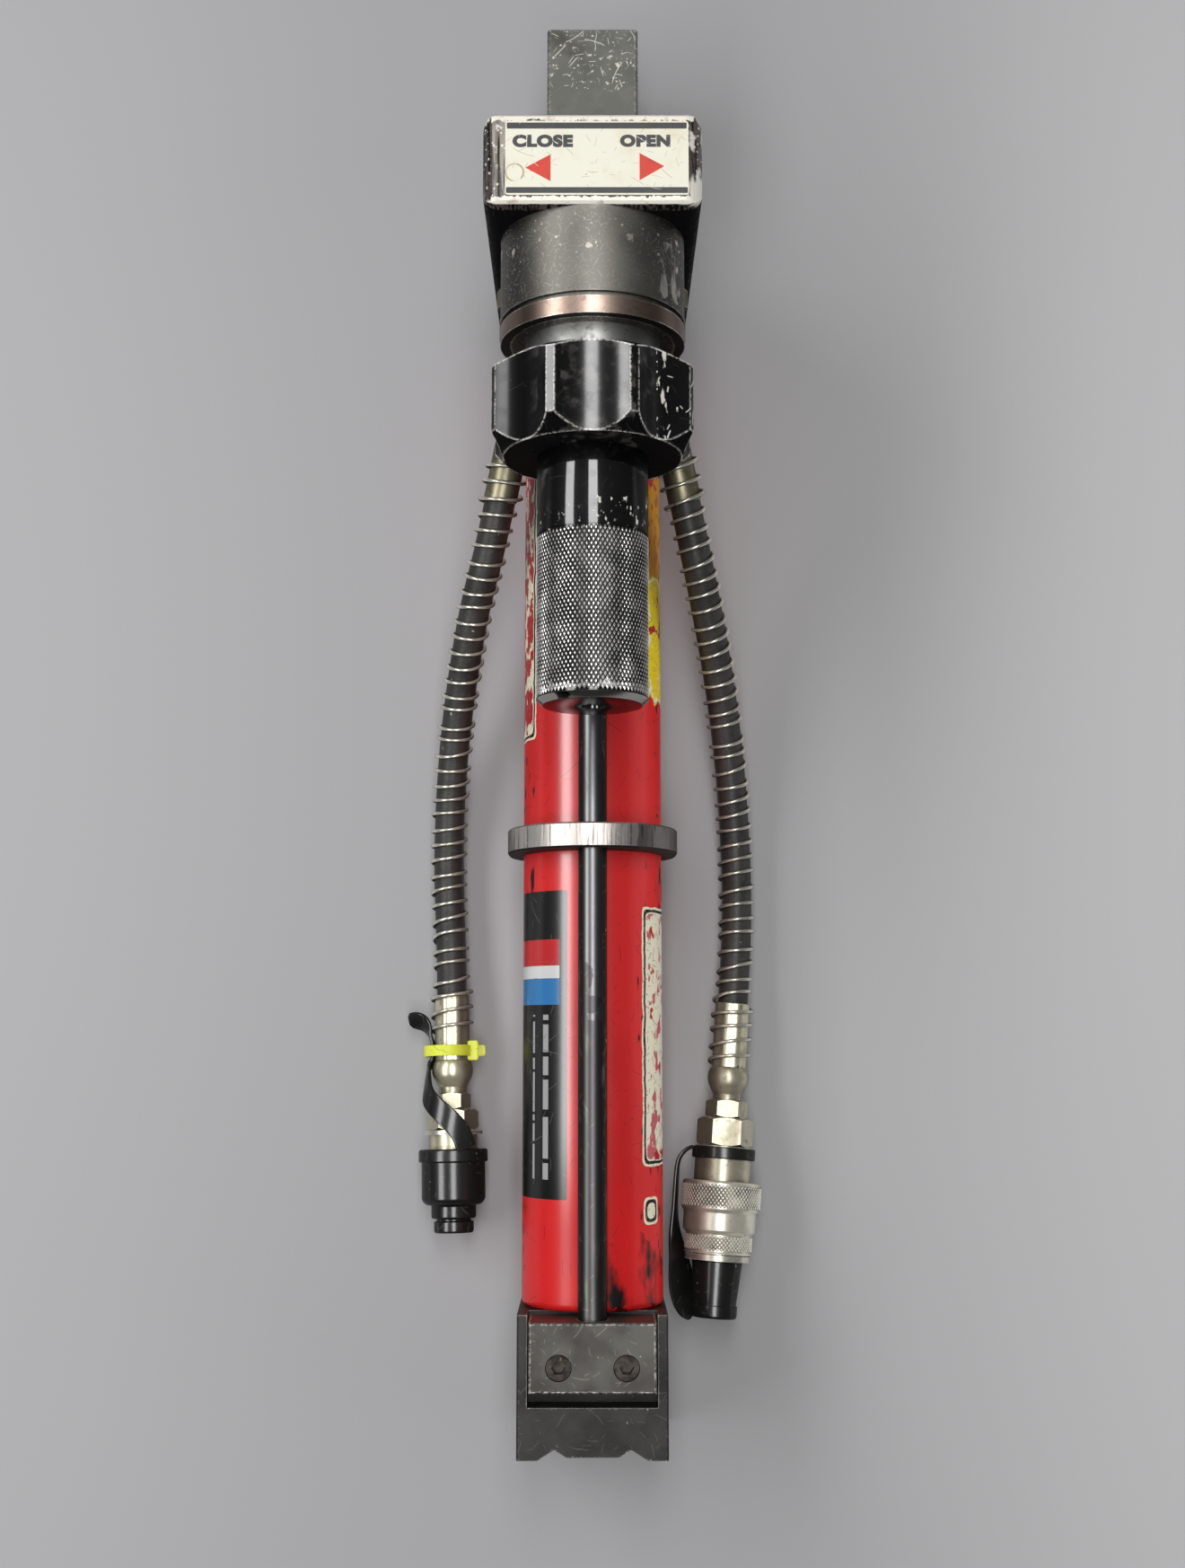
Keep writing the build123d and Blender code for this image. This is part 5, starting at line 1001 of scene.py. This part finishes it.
def finished(name, shape, slot, body, *nodes, sharp=35, finish=None):
    """A piece from a mesh or bmesh: its finish, the body it rides on and the CAD nodes that it stands for."""
    mesh = mesh_of(name, shape) if isinstance(shape, bmesh.types.BMesh) else shape
    mesh.materials.clear()
    mesh.materials.append(finishes[finish or slot])
    mesh.shade_smooth()
    mesh.set_sharp_from_angle(angle=math.radians(sharp))
    piece = placed(name, mesh)
    if body is not None:
        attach(piece, body)
    if nodes:
        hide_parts(*nodes)
    return piece


on_axis = 1e-6
side_share = 0.45


def eased(outline, radius, steps=4):
    """A closed outline with its corners rounded, except on the axis."""
    points = [Vector(point) for point in outline]
    rounded = []
    for index, corner in enumerate(points):
        before = points[index - 1] - corner
        after = points[(index + 1) % len(points)] - corner
        if corner.x < on_axis:
            rounded.append(corner)
            continue
        reach = min(radius, side_share * before.length, side_share * after.length)
        first = corner + before.normalized() * reach
        last = corner + after.normalized() * reach
        for step in range(steps + 1):
            share = step / steps
            rounded.append((1 - share) ** 2 * first + 2 * share * (1 - share) * corner + share ** 2 * last)
    return rounded


def turned(line, outline, segments=72, lobes=0, lobe_depth=0.0):
    """A closed outline of (radius, distance) turned round a line, with shallow lobes if wanted."""
    shape = bmesh.new()
    rings = []
    for radius, distance in outline:
        if radius < on_axis:
            rings.append([shape.verts.new(line @ Vector((0, distance, 0)))] * segments)
            continue
        ring = []
        for index in range(segments):
            angle = math.tau * index / segments
            reach = radius * (1 - lobe_depth * (0.5 + 0.5 * math.cos(lobes * angle)))
            spot = Vector((reach * math.cos(angle), distance, reach * math.sin(angle)))
            ring.append(shape.verts.new(line @ spot))
        rings.append(ring)
    for first, second in zip(rings, rings[1:] + rings[:1]):
        for index in range(segments):
            following = (index + 1) % segments
            corners = dict.fromkeys([first[index], first[following], second[following], second[index]])
            if len(corners) > 2:
                shape.faces.new(corners)
    return shape


def in_metres(outline):
    """An outline given in millimetres."""
    return [(radius * mm, distance * mm) for radius, distance in outline]


# Ways to run Geometry Nodes
def geometry_tree(name, **inputs):
    """A new geometry tree; gives the tree and its inputs by name."""
    tree = bpy.data.node_groups.new(name, "GeometryNodeTree")
    tree.interface.new_socket("Geometry", in_out="INPUT", socket_type="NodeSocketGeometry")
    for label, kind in inputs.items():
        tree.interface.new_socket(label, in_out="INPUT", socket_type="NodeSocket" + kind)
    tree.interface.new_socket("Geometry", in_out="OUTPUT", socket_type="NodeSocketGeometry")
    return tree, tree.nodes.new("NodeGroupInput").outputs


def end_tree(tree, geometry, material):
    """Realize Instances and Set Material, which end every tree."""
    real = made(tree, "GeometryNodeRealizeInstances", {"Geometry": geometry})
    dressed = made(tree, "GeometryNodeSetMaterial", {"Geometry": real, "Material": material})
    tree.links.new(dressed, tree.nodes.new("NodeGroupOutput").inputs["Geometry"])


def grown(tree, mesh, **values):
    """The plain mesh that a tree makes of a mesh."""
    source = placed(tree.name, mesh)
    modifier = source.modifiers.new(tree.name, "NODES")
    modifier.node_group = tree
    for item in tree.interface.items_tree:
        if item.in_out == "INPUT" and item.name in values:
            modifier[item.identifier] = values[item.name]
    result = plain_mesh(source)
    bpy.data.objects.remove(source)
    return result


# Diamond knurl: two grids of pointed studs, wrapped round the y axis
stud_top = 0.3
knurl, given = geometry_tree("diamond_knurl", Around="Int", Rows="Int", Radius="Float", Length="Float",
                             Depth="Float", Material="Material")
width = maths(knurl, "DIVIDE", product(knurl, given["Radius"], math.tau), given["Around"])
height = maths(knurl, "DIVIDE", given["Length"], maths(knurl, "ADD", given["Rows"], 0.5))
grid = made(knurl, "GeometryNodeMeshGrid", {
    "Size X": product(knurl, width, maths(knurl, "SUBTRACT", given["Around"], 1.0)),
    "Size Y": product(knurl, height, maths(knurl, "SUBTRACT", given["Rows"], 1.0)),
    "Vertices X": given["Around"],
    "Vertices Y": given["Rows"],
})
quarter = scaled(knurl, made(knurl, "ShaderNodeCombineXYZ", {0: width, 1: height}), 0.25)
lattices = add(knurl, "GeometryNodeJoinGeometry")
for sign in (-1.0, 1.0):
    move = scaled(knurl, quarter, sign)
    shifted = made(knurl, "GeometryNodeTransform", {"Geometry": grid, "Translation": move})
    knurl.links.new(shifted, lattices.inputs[0])
stud = made(knurl, "GeometryNodeMeshCone", {
    "Vertices": 4, "Radius Top": stud_top, "Radius Bottom": 1.0, "Depth": 1.0})
stud_size = made(knurl, "ShaderNodeCombineXYZ", {
    0: product(knurl, width, 0.5), 1: product(knurl, height, 0.5), 2: given["Depth"]})
studs = made(knurl, "GeometryNodeInstanceOnPoints", {
    "Points": lattices.outputs[0], "Instance": stud, "Scale": stud_size})
studs = made(knurl, "GeometryNodeRealizeInstances", {"Geometry": studs})
normal = split(knurl, made(knurl, "GeometryNodeInputNormal"))
hidden = maths(knurl, "LESS_THAN", normal[2], -0.5)
studs = made(knurl, "GeometryNodeDeleteGeometry", {"Geometry": studs, "Selection": hidden}, domain="FACE")
place = split(knurl, made(knurl, "GeometryNodeInputPosition"))
studs = made(knurl, "GeometryNodeStoreNamedAttribute", {
    "Geometry": studs, "Name": "peak", "Value": maths(knurl, "DIVIDE", place[2], given["Depth"])})
angle = maths(knurl, "DIVIDE", place[0], given["Radius"])
reach = maths(knurl, "ADD", given["Radius"], place[2])
wrapped = made(knurl, "ShaderNodeCombineXYZ", {
    0: product(knurl, reach, maths(knurl, "SINE", angle)),
    1: place[1],
    2: product(knurl, reach, maths(knurl, "COSINE", angle)),
})
studs = made(knurl, "GeometryNodeSetPosition", {"Geometry": studs, "Position": wrapped})
end_tree(knurl, studs, given["Material"])

# Wound wire, for hose guards and springs: a coil round a line of points, with its own radius near both ends
steps_a_turn = 24
wire_sides = 8
slack_fineness = 31.0
end_softness = 0.2
guard, given = geometry_tree("wound_guard", Turns="Int", Radius="Float", End_Radius="Float", Upper="Float",
                             Lower="Float", Wire="Float", Slack="Float", Material="Material")
spine = made(guard, "GeometryNodeMeshToCurve", {"Mesh": given["Geometry"]})
steps = product(guard, given["Turns"], steps_a_turn)
spine = made(guard, "GeometryNodeResampleCurve", {"Curve": spine, "Count": steps}, mode="COUNT")
run = made(guard, "GeometryNodeInputTangent")
up = scaled(guard, run, measure(guard, "DOT_PRODUCT", run, z_axis))
up = vectors(guard, "NORMALIZE", vectors(guard, "SUBTRACT", z_axis, up))
side = vectors(guard, "CROSS_PRODUCT", run, up)
share = add(guard, "GeometryNodeSplineParameter").outputs["Factor"]
slack = made(guard, "ShaderNodeTexNoise", {"W": share, "Scale": slack_fineness, "Detail": 1.0},
             noise_dimensions="1D")
turn = maths(guard, "MULTIPLY_ADD", share, given["Turns"], product(guard, slack, given["Slack"]))
turn = product(guard, turn, math.tau)
out = vectors(guard, "ADD", scaled(guard, up, maths(guard, "COSINE", turn)),
              scaled(guard, side, maths(guard, "SINE", turn)))
at_top = spread(guard, share, given["Upper"], product(guard, given["Upper"], 1.0 - end_softness))
lower_start = maths(guard, "SUBTRACT", 1.0, given["Lower"])
lower_full = maths(guard, "MULTIPLY_ADD", given["Lower"], end_softness, lower_start)
at_bottom = spread(guard, share, lower_start, lower_full)
reach = chosen(guard, maths(guard, "MAXIMUM", at_top, at_bottom), given["Radius"], given["End_Radius"])
coil = made(guard, "GeometryNodeSetPosition", {"Geometry": spine, "Offset": scaled(guard, out, reach)})
wire = made(guard, "GeometryNodeCurvePrimitiveCircle", {
    "Resolution": wire_sides, "Radius": product(guard, given["Wire"], 0.5)})
coil = made(guard, "GeometryNodeCurveToMesh", {"Curve": coil, "Profile Curve": wire, "Fill Caps": True})
end_tree(guard, coil, given["Material"])


def wound(points, turns, radius, end_radius, upper, lower, wire, slack):
    """A steel wire wound round a line of points; upper and lower are the shares of it at the end radius."""
    spine = bpy.data.meshes.new("wire_spine")
    spine.from_pydata(points, [(index, index + 1) for index in range(len(points) - 1)], [])
    return grown(guard, spine, Turns=turns, Radius=radius, End_Radius=end_radius, Upper=upper, Lower=lower,
                 Wire=wire, Slack=slack, Material=finishes["spring_steel"])


# Hoses, with their guards and crimped ferrules
def hose_tube(name, route):
    """A hose along its route, and the points of its middle line."""
    curve = bpy.data.curves.new(f"{name}_hose_tube", "CURVE")
    curve.dimensions = "3D"
    spline = curve.splines.new("NURBS")
    spline.points.add(len(route) - 1)
    for point, place in zip(spline.points, route):
        point.co = (*place, 1)
    spline.order_u = 3
    spline.use_endpoint_u = True
    curve.resolution_u = 8
    hose = placed(f"{name}_hose_tube", curve)
    middle_line = [vertex.co.copy() for vertex in plain_mesh(hose).vertices]
    curve.bevel_depth = hose_diameter / 2
    curve.bevel_resolution = 6
    curve.use_fill_caps = True
    curve.materials.append(finishes["hose_rubber"])
    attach(hose, "ram")
    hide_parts(f"{name}_hose")
    return hose, middle_line


def hose_guard(name, hose_line, leaving, ending):
    """The spring guard of a hose, from one ferrule to the other."""
    on_lower_ferrule = guard_on_lower_ferrule[name]
    length = hose_lengths[name] + guard_on_upper_ferrule + on_lower_ferrule
    points = [hose_line[0] - leaving * guard_on_upper_ferrule] + hose_line
    points.append(hose_line[-1] + ending * on_lower_ferrule)
    coil = wound(points, guard_turns[name], guard_radius, guard_end_radius,
                 (guard_on_upper_ferrule + guard_end_margin) / length,
                 (on_lower_ferrule + guard_end_margin) / length, guard_wire, guard_slack)
    finished(f"{name}_guard_coil", coil, "spring_steel", "ram", f"{name}_spring_guard", sharp=80)


def crimped_ferrule(name, line):
    """The lower ferrule of a hose, with its crimp marks."""
    end = ferrule_lengths[name]
    outline = [(ferrule_bore, 0), (ferrule_radius, 0), (ferrule_radius, end), (ferrule_bore, end)]
    shape = turned(line, eased(outline, ferrule_rounding), 64, ferrule_crimps, crimp_depth)
    finished(f"{name}_crimped_ferrule", shape, "pale_brass", "ram", f"{name}_lower_ferrule")


hoses = {}
coupling_lines = {}
for name, sign in (("left", -1), ("right", 1)):
    hoses[name], hose_line = hose_tube(name, hose_routes[name])
    leaving = Vector((sign * hose_exit.x, hose_exit.y, hose_exit.z))
    ending = Vector(coupling_directions[name])
    hose_guard(name, hose_line, leaving, ending)
    coupling_lines[name] = line_frame(hose_line[-1], ending)
    crimped_ferrule(name, coupling_lines[name])

left_line = coupling_lines["left"]
right_line = coupling_lines["right"]

# Dust cap, dust plug and coupler sleeve
cap_shape = turned(left_line, eased(in_metres(cap_outline), cap_rounding))
finished("rubber_dust_cap", cap_shape, "black_rubber", "cap", "dust_cap")
plug_shape = turned(right_line, eased(in_metres(plug_outline), plug_rounding))
finished("rubber_dust_plug", plug_shape, "black_rubber", "plug", "dust_plug")
sleeve_shape = turned(right_line, eased(in_metres(sleeve_outline), sleeve_rounding, 2), 96)
finished("knurled_sleeve", sleeve_shape, "nickel", "sleeve", "coupler_sleeve", finish="sleeve_nickel")


def knurled(name, line, radius, places, depth, counts, slot, body, finish):
    """A knurled band on a line between two places, with counts of studs around it and along it."""
    start, end = places
    around, rows = counts
    band = grown(knurl, bpy.data.meshes.new(name), Around=around, Rows=rows, Radius=radius,
                 Length=end - start, Depth=depth, Material=finishes[finish])
    band.transform(line @ Matrix.Translation((0, (start + end) / 2, 0)))
    finished(name, band, slot, body, sharp=20, finish=finish)


for name, (radius, start, end, *counts) in sleeve_bands.items():
    knurled(f"{name}_sleeve_knurl", right_line, radius * mm, (start * mm, end * mm), sleeve_knurl_depth,
            counts, "nickel", "sleeve", "sleeve_knurl")

# Twist grip with its knurled band
grip_line = line_frame((0, block_face, valve_height), (0, -1, 0))
knurl_floor = grip_radius - knurl_depth
grip_outline = [
    (spigot_radius, grip_start), (grip_radius, grip_start), (grip_radius, knurl_start),
    (knurl_floor, knurl_start), (knurl_floor, knurl_end), (grip_radius, knurl_end),
    (grip_radius, grip_end - grip_chamfer), (grip_radius - grip_chamfer, grip_end),
    (grip_hole_radius, grip_end), (grip_hole_radius, grip_end - grip_hole_depth),
    (0, grip_end - grip_hole_depth), (0, spigot_end), (spigot_radius, spigot_end),
]
grip_shape = turned(grip_line, eased(grip_outline, grip_rounding, 2), 128)
finished("grip_barrel", grip_shape, "collar_black", "grip", "twist_grip", sharp=25, finish="grip_black")
knurled("grip_knurl", grip_line, knurl_floor, (knurl_start, knurl_end), knurl_depth,
        (knurl_around, knurl_rows), "collar_black", "grip", "grip_knurl")


# Rubber straps
def smooth_run(points, steps=8):
    """Points on a smooth curve through the given ones."""
    points = [Vector(point) for point in points]
    points = [2 * points[0] - points[1]] + points + [2 * points[-1] - points[-2]]
    run = []
    for before, start, end, after in zip(points, points[1:], points[2:], points[3:]):
        for step in range(steps):
            share = step / steps
            run.append(0.5 * (2 * start + share * (end - before)
                              + share ** 2 * (2 * before - 5 * start + 4 * end - after)
                              + share ** 3 * (3 * start - before - 3 * end + after)))
    return run + [points[-2]]


def strap(line, route):
    """A flat strap with round edges along a coupling.

    The route gives place, angle, radius, width and twist. The strap's face looks out from the coupling; where
    the strap runs straight out, its face goes on from the last one.
    """
    shape = bmesh.new()
    run = smooth_run(route)
    places = []
    outs = []
    for place, angle, radius, width, twist in run:
        turn = math.radians(angle)
        out = Vector((-math.cos(turn), 0, math.sin(turn)))
        places.append(line @ ((Vector((0, place, 0)) + out * radius) * mm))
        outs.append(line.to_3x3() @ out)
    rings = []
    last_face = None
    for index, (place, angle, radius, width, twist) in enumerate(run):
        ahead = places[min(index + 1, len(run) - 1)] - places[max(index - 1, 0)]
        ahead.normalize()
        face = outs[index] - ahead * outs[index].dot(ahead)
        if last_face is not None and face.length < least_facing:
            face = last_face - ahead * last_face.dot(ahead)
        last_face = face.normalized()
        out = Matrix.Rotation(math.radians(twist), 3, ahead) @ last_face
        across = ahead.cross(out)
        half_width = across * (width * mm / 2)
        half_thickness = out * (strap_thickness / 2)
        rings.append([shape.verts.new(places[index] + half_width * share + half_thickness * lift)
                      for share, lift in strap_section])
    for first, second in zip(rings, rings[1:]):
        for index in range(len(strap_section)):
            following = (index + 1) % len(strap_section)
            shape.faces.new((first[index], first[following], second[following], second[index]))
    shape.faces.new(rings[0])
    shape.faces.new(rings[-1])
    return shape


def on_line(line, distance):
    """The point of a line at a distance."""
    return line @ Vector((0, distance, 0))


cap_band = finished("cap_strap_band", strap(left_line, cap_strap_route), "black_rubber", None, "cap_strap")
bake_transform(cap_band)
plug_band = finished("plug_strap_band", strap(right_line, plug_strap_route), "black_rubber", None,
                     "plug_strap")
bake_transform(plug_band)
ring_shape = turned(right_line, eased(in_metres(strap_ring_outline), strap_ring_rounding))
finished("plug_strap_ring", ring_shape, "black_rubber", "ram")

# Springs in the couplings
for name, (side, start, end, radius, wire, turns, body) in coupling_springs.items():
    line = coupling_lines[side]
    ends = [on_line(line, start * mm), on_line(line, end * mm)]
    coil = wound(ends, turns, radius * mm, radius * mm, spring_end_share, spring_end_share, wire * mm, 0.0)
    coil_piece = finished(f"{name}_coil", coil, "spring_steel", None, name, sharp=80)
    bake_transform(coil_piece)

# Cable tie: band, lock head and cut tail
tie_line = left_line @ Matrix.Translation((tie_shift, 0, 0))
tie_start, tie_end = tie_places
tie_edge = tie_radius + tie_thickness
tie_outline = [(tie_radius, tie_start), (tie_edge, tie_start), (tie_edge, tie_end), (tie_radius, tie_end)]
tie_shape = turned(tie_line, eased(tie_outline, tie_rounding, 2))
tie_middle = (tie_start + tie_end) / 2
for place, size in ((-tie_edge, tie_head), (-tie_edge - tie_head[0] / 2, tie_tail)):
    corners = bmesh.ops.create_cube(tie_shape, size=1.0)["verts"]
    bmesh.ops.scale(tie_shape, vec=size, verts=corners)
    block_place = tie_line @ Matrix.Translation((place, tie_middle, 0))
    bmesh.ops.transform(tie_shape, matrix=block_place, verts=corners)
    block_edges = {edge for vert in corners for edge in vert.link_edges}
    bmesh.ops.bevel(tie_shape, geom=list(block_edges), offset=tie_bevel, segments=2, affect="EDGES")
finished("yellow_cable_tie", tie_shape, "tie_yellow", "ram", "cable_tie")


# Control label: plate, bars, words and arrows
def prism(points, low, high):
    """A flat piece with an outline of (x, y) points, between two heights."""
    shape = bmesh.new()
    base = shape.faces.new([shape.verts.new((x * mm, y * mm, low)) for x, y in points])
    lifted = bmesh.ops.extrude_face_region(shape, geom=[base])
    top = [item for item in lifted["geom"] if isinstance(item, bmesh.types.BMVert)]
    bmesh.ops.translate(shape, vec=(0, 0, high - low), verts=top)
    return shape


def round_box(box, corner, steps=5):
    """Outline of a rectangle with round corners."""
    left, front, right, back = box
    middles = [(right - corner, back - corner, 0), (left + corner, back - corner, 90),
               (left + corner, front + corner, 180), (right - corner, front + corner, 270)]
    outline = []
    for x, y, turn in middles:
        for step in range(steps + 1):
            angle = math.radians(turn + 90 * step / steps)
            outline.append((x + corner * math.cos(angle), y + corner * math.sin(angle)))
    return outline


def word_mesh(word, box, low, high):
    """A word in thick plain letters that fills a box."""
    letters = bpy.data.curves.new(word, "FONT")
    letters.body = word
    letters.offset = letter_weight
    letters.space_character = letter_spacing
    letters.extrude = letter_extrude
    source = placed(word, letters)
    mesh = plain_mesh(source)
    bpy.data.objects.remove(source)
    lowest = [min(vertex.co[axis] for vertex in mesh.vertices) for axis in range(3)]
    highest = [max(vertex.co[axis] for vertex in mesh.vertices) for axis in range(3)]
    target = [(box[0] * mm, box[2] * mm), (box[1] * mm, box[3] * mm), (low, high)]
    for vertex in mesh.vertices:
        for axis, (start, end) in enumerate(target):
            share = (vertex.co[axis] - lowest[axis]) / (highest[axis] - lowest[axis])
            vertex.co[axis] = start + share * (end - start)
    return mesh


label_top = label_face + label_thickness
print_top = label_top + print_thickness
plate_shape = prism(round_box(label_box, label_corner), label_face, label_top)
finished("label_plate", plate_shape, "label_cream", "ram", "control_label")
prints = []
for name, box in label_bars.items():
    prints.append((f"bar_{name}", prism(round_box(box, bar_corner), label_top, print_top), "dark_print"))
for word, box in label_words.items():
    prints.append((f"word_{word.lower()}", word_mesh(word, box, label_top, print_top), "dark_print"))
for name, points in label_arrows.items():
    prints.append((f"arrow_{name}", prism(points, label_top, print_top), "red_print"))
for name, shape, ink in prints:
    finished(f"label_{name}", shape, "label_cream", "ram", finish=ink)

# Floor and its paint
floor_mesh = bpy.data.meshes.new("studio_floor")
floor_corners = [(-1, -1), (1, -1), (1, 1), (-1, 1)]
floor_points = [(x * floor_reach, y * floor_reach, 0) for x, y in floor_corners]
floor_mesh.from_pydata(floor_points, [], [(0, 1, 2, 3)])
floor = placed("studio_floor", floor_mesh)
floor_paint = bpy.data.materials.new("floor_paint")
floor_paint.use_nodes = True
floor_tree = floor_paint.node_tree
ray = add(floor_tree, "ShaderNodeLightPath").outputs
seen = maths(floor_tree, "MAXIMUM", ray["Is Camera Ray"], ray["Is Glossy Ray"])
seen = maths(floor_tree, "MAXIMUM", seen, ray["Is Transmission Ray"])
sideways = split(floor_tree, object_place(floor_tree))[0]
glow = floor_glow["middle"]
for name, sign in (("left", -1), ("right", 1)):
    share = spread(floor_tree, sideways, sign * glow_reach[0], sign * glow_reach[1])
    glow = maths(floor_tree, "MULTIPLY_ADD", share, floor_glow[name], glow)
glow = product(floor_tree, glow, seen)
floor_looks = {
    "Base Color": srgb(*floor_colour),
    "Roughness": floor_roughness,
    "Emission Color": made(floor_tree, "ShaderNodeCombineXYZ", {0: glow, 1: glow, 2: glow}),
    "Emission Strength": 1.0,
}
for socket, value in floor_looks.items():
    feed(floor_tree, floor_tree.nodes["Principled BSDF"].inputs[socket], value)
floor_mesh.materials.append(floor_paint)

# World
world = bpy.data.worlds.new("studio")
world.use_nodes = True
sky = world.node_tree.nodes["Background"].inputs
sky["Color"].default_value = (1.0, 1.0, 1.0, 1.0)
sky["Strength"].default_value = world_strength
scene.world = world

# Lamps: soft area lights with their long sides along Y
for name, (place, aim, size, power, mirrored) in lamps.items():
    lamp = bpy.data.lights.new(name, "AREA")
    lamp.shape = "RECTANGLE"
    lamp.size, lamp.size_y = size
    lamp.energy = power
    light = placed(name, lamp)
    light.location = place
    along = Vector(y_axis)
    back = (Vector(place) - Vector(aim)).normalized()
    light.rotation_euler = Matrix((along.cross(back), along, back)).transposed().to_euler()
    light.visible_glossy = mirrored

# Camera
camera = bpy.data.cameras.new("photo_camera")
camera.sensor_fit = "VERTICAL"
camera.sensor_height = sensor_height
camera.lens = sensor_height * focal_pixels / photo_height
viewer = placed("photo_camera", camera)
viewer.location = camera_place
viewer.rotation_euler = (math.radians(camera_tilt), 0, 0)
scene.camera = viewer
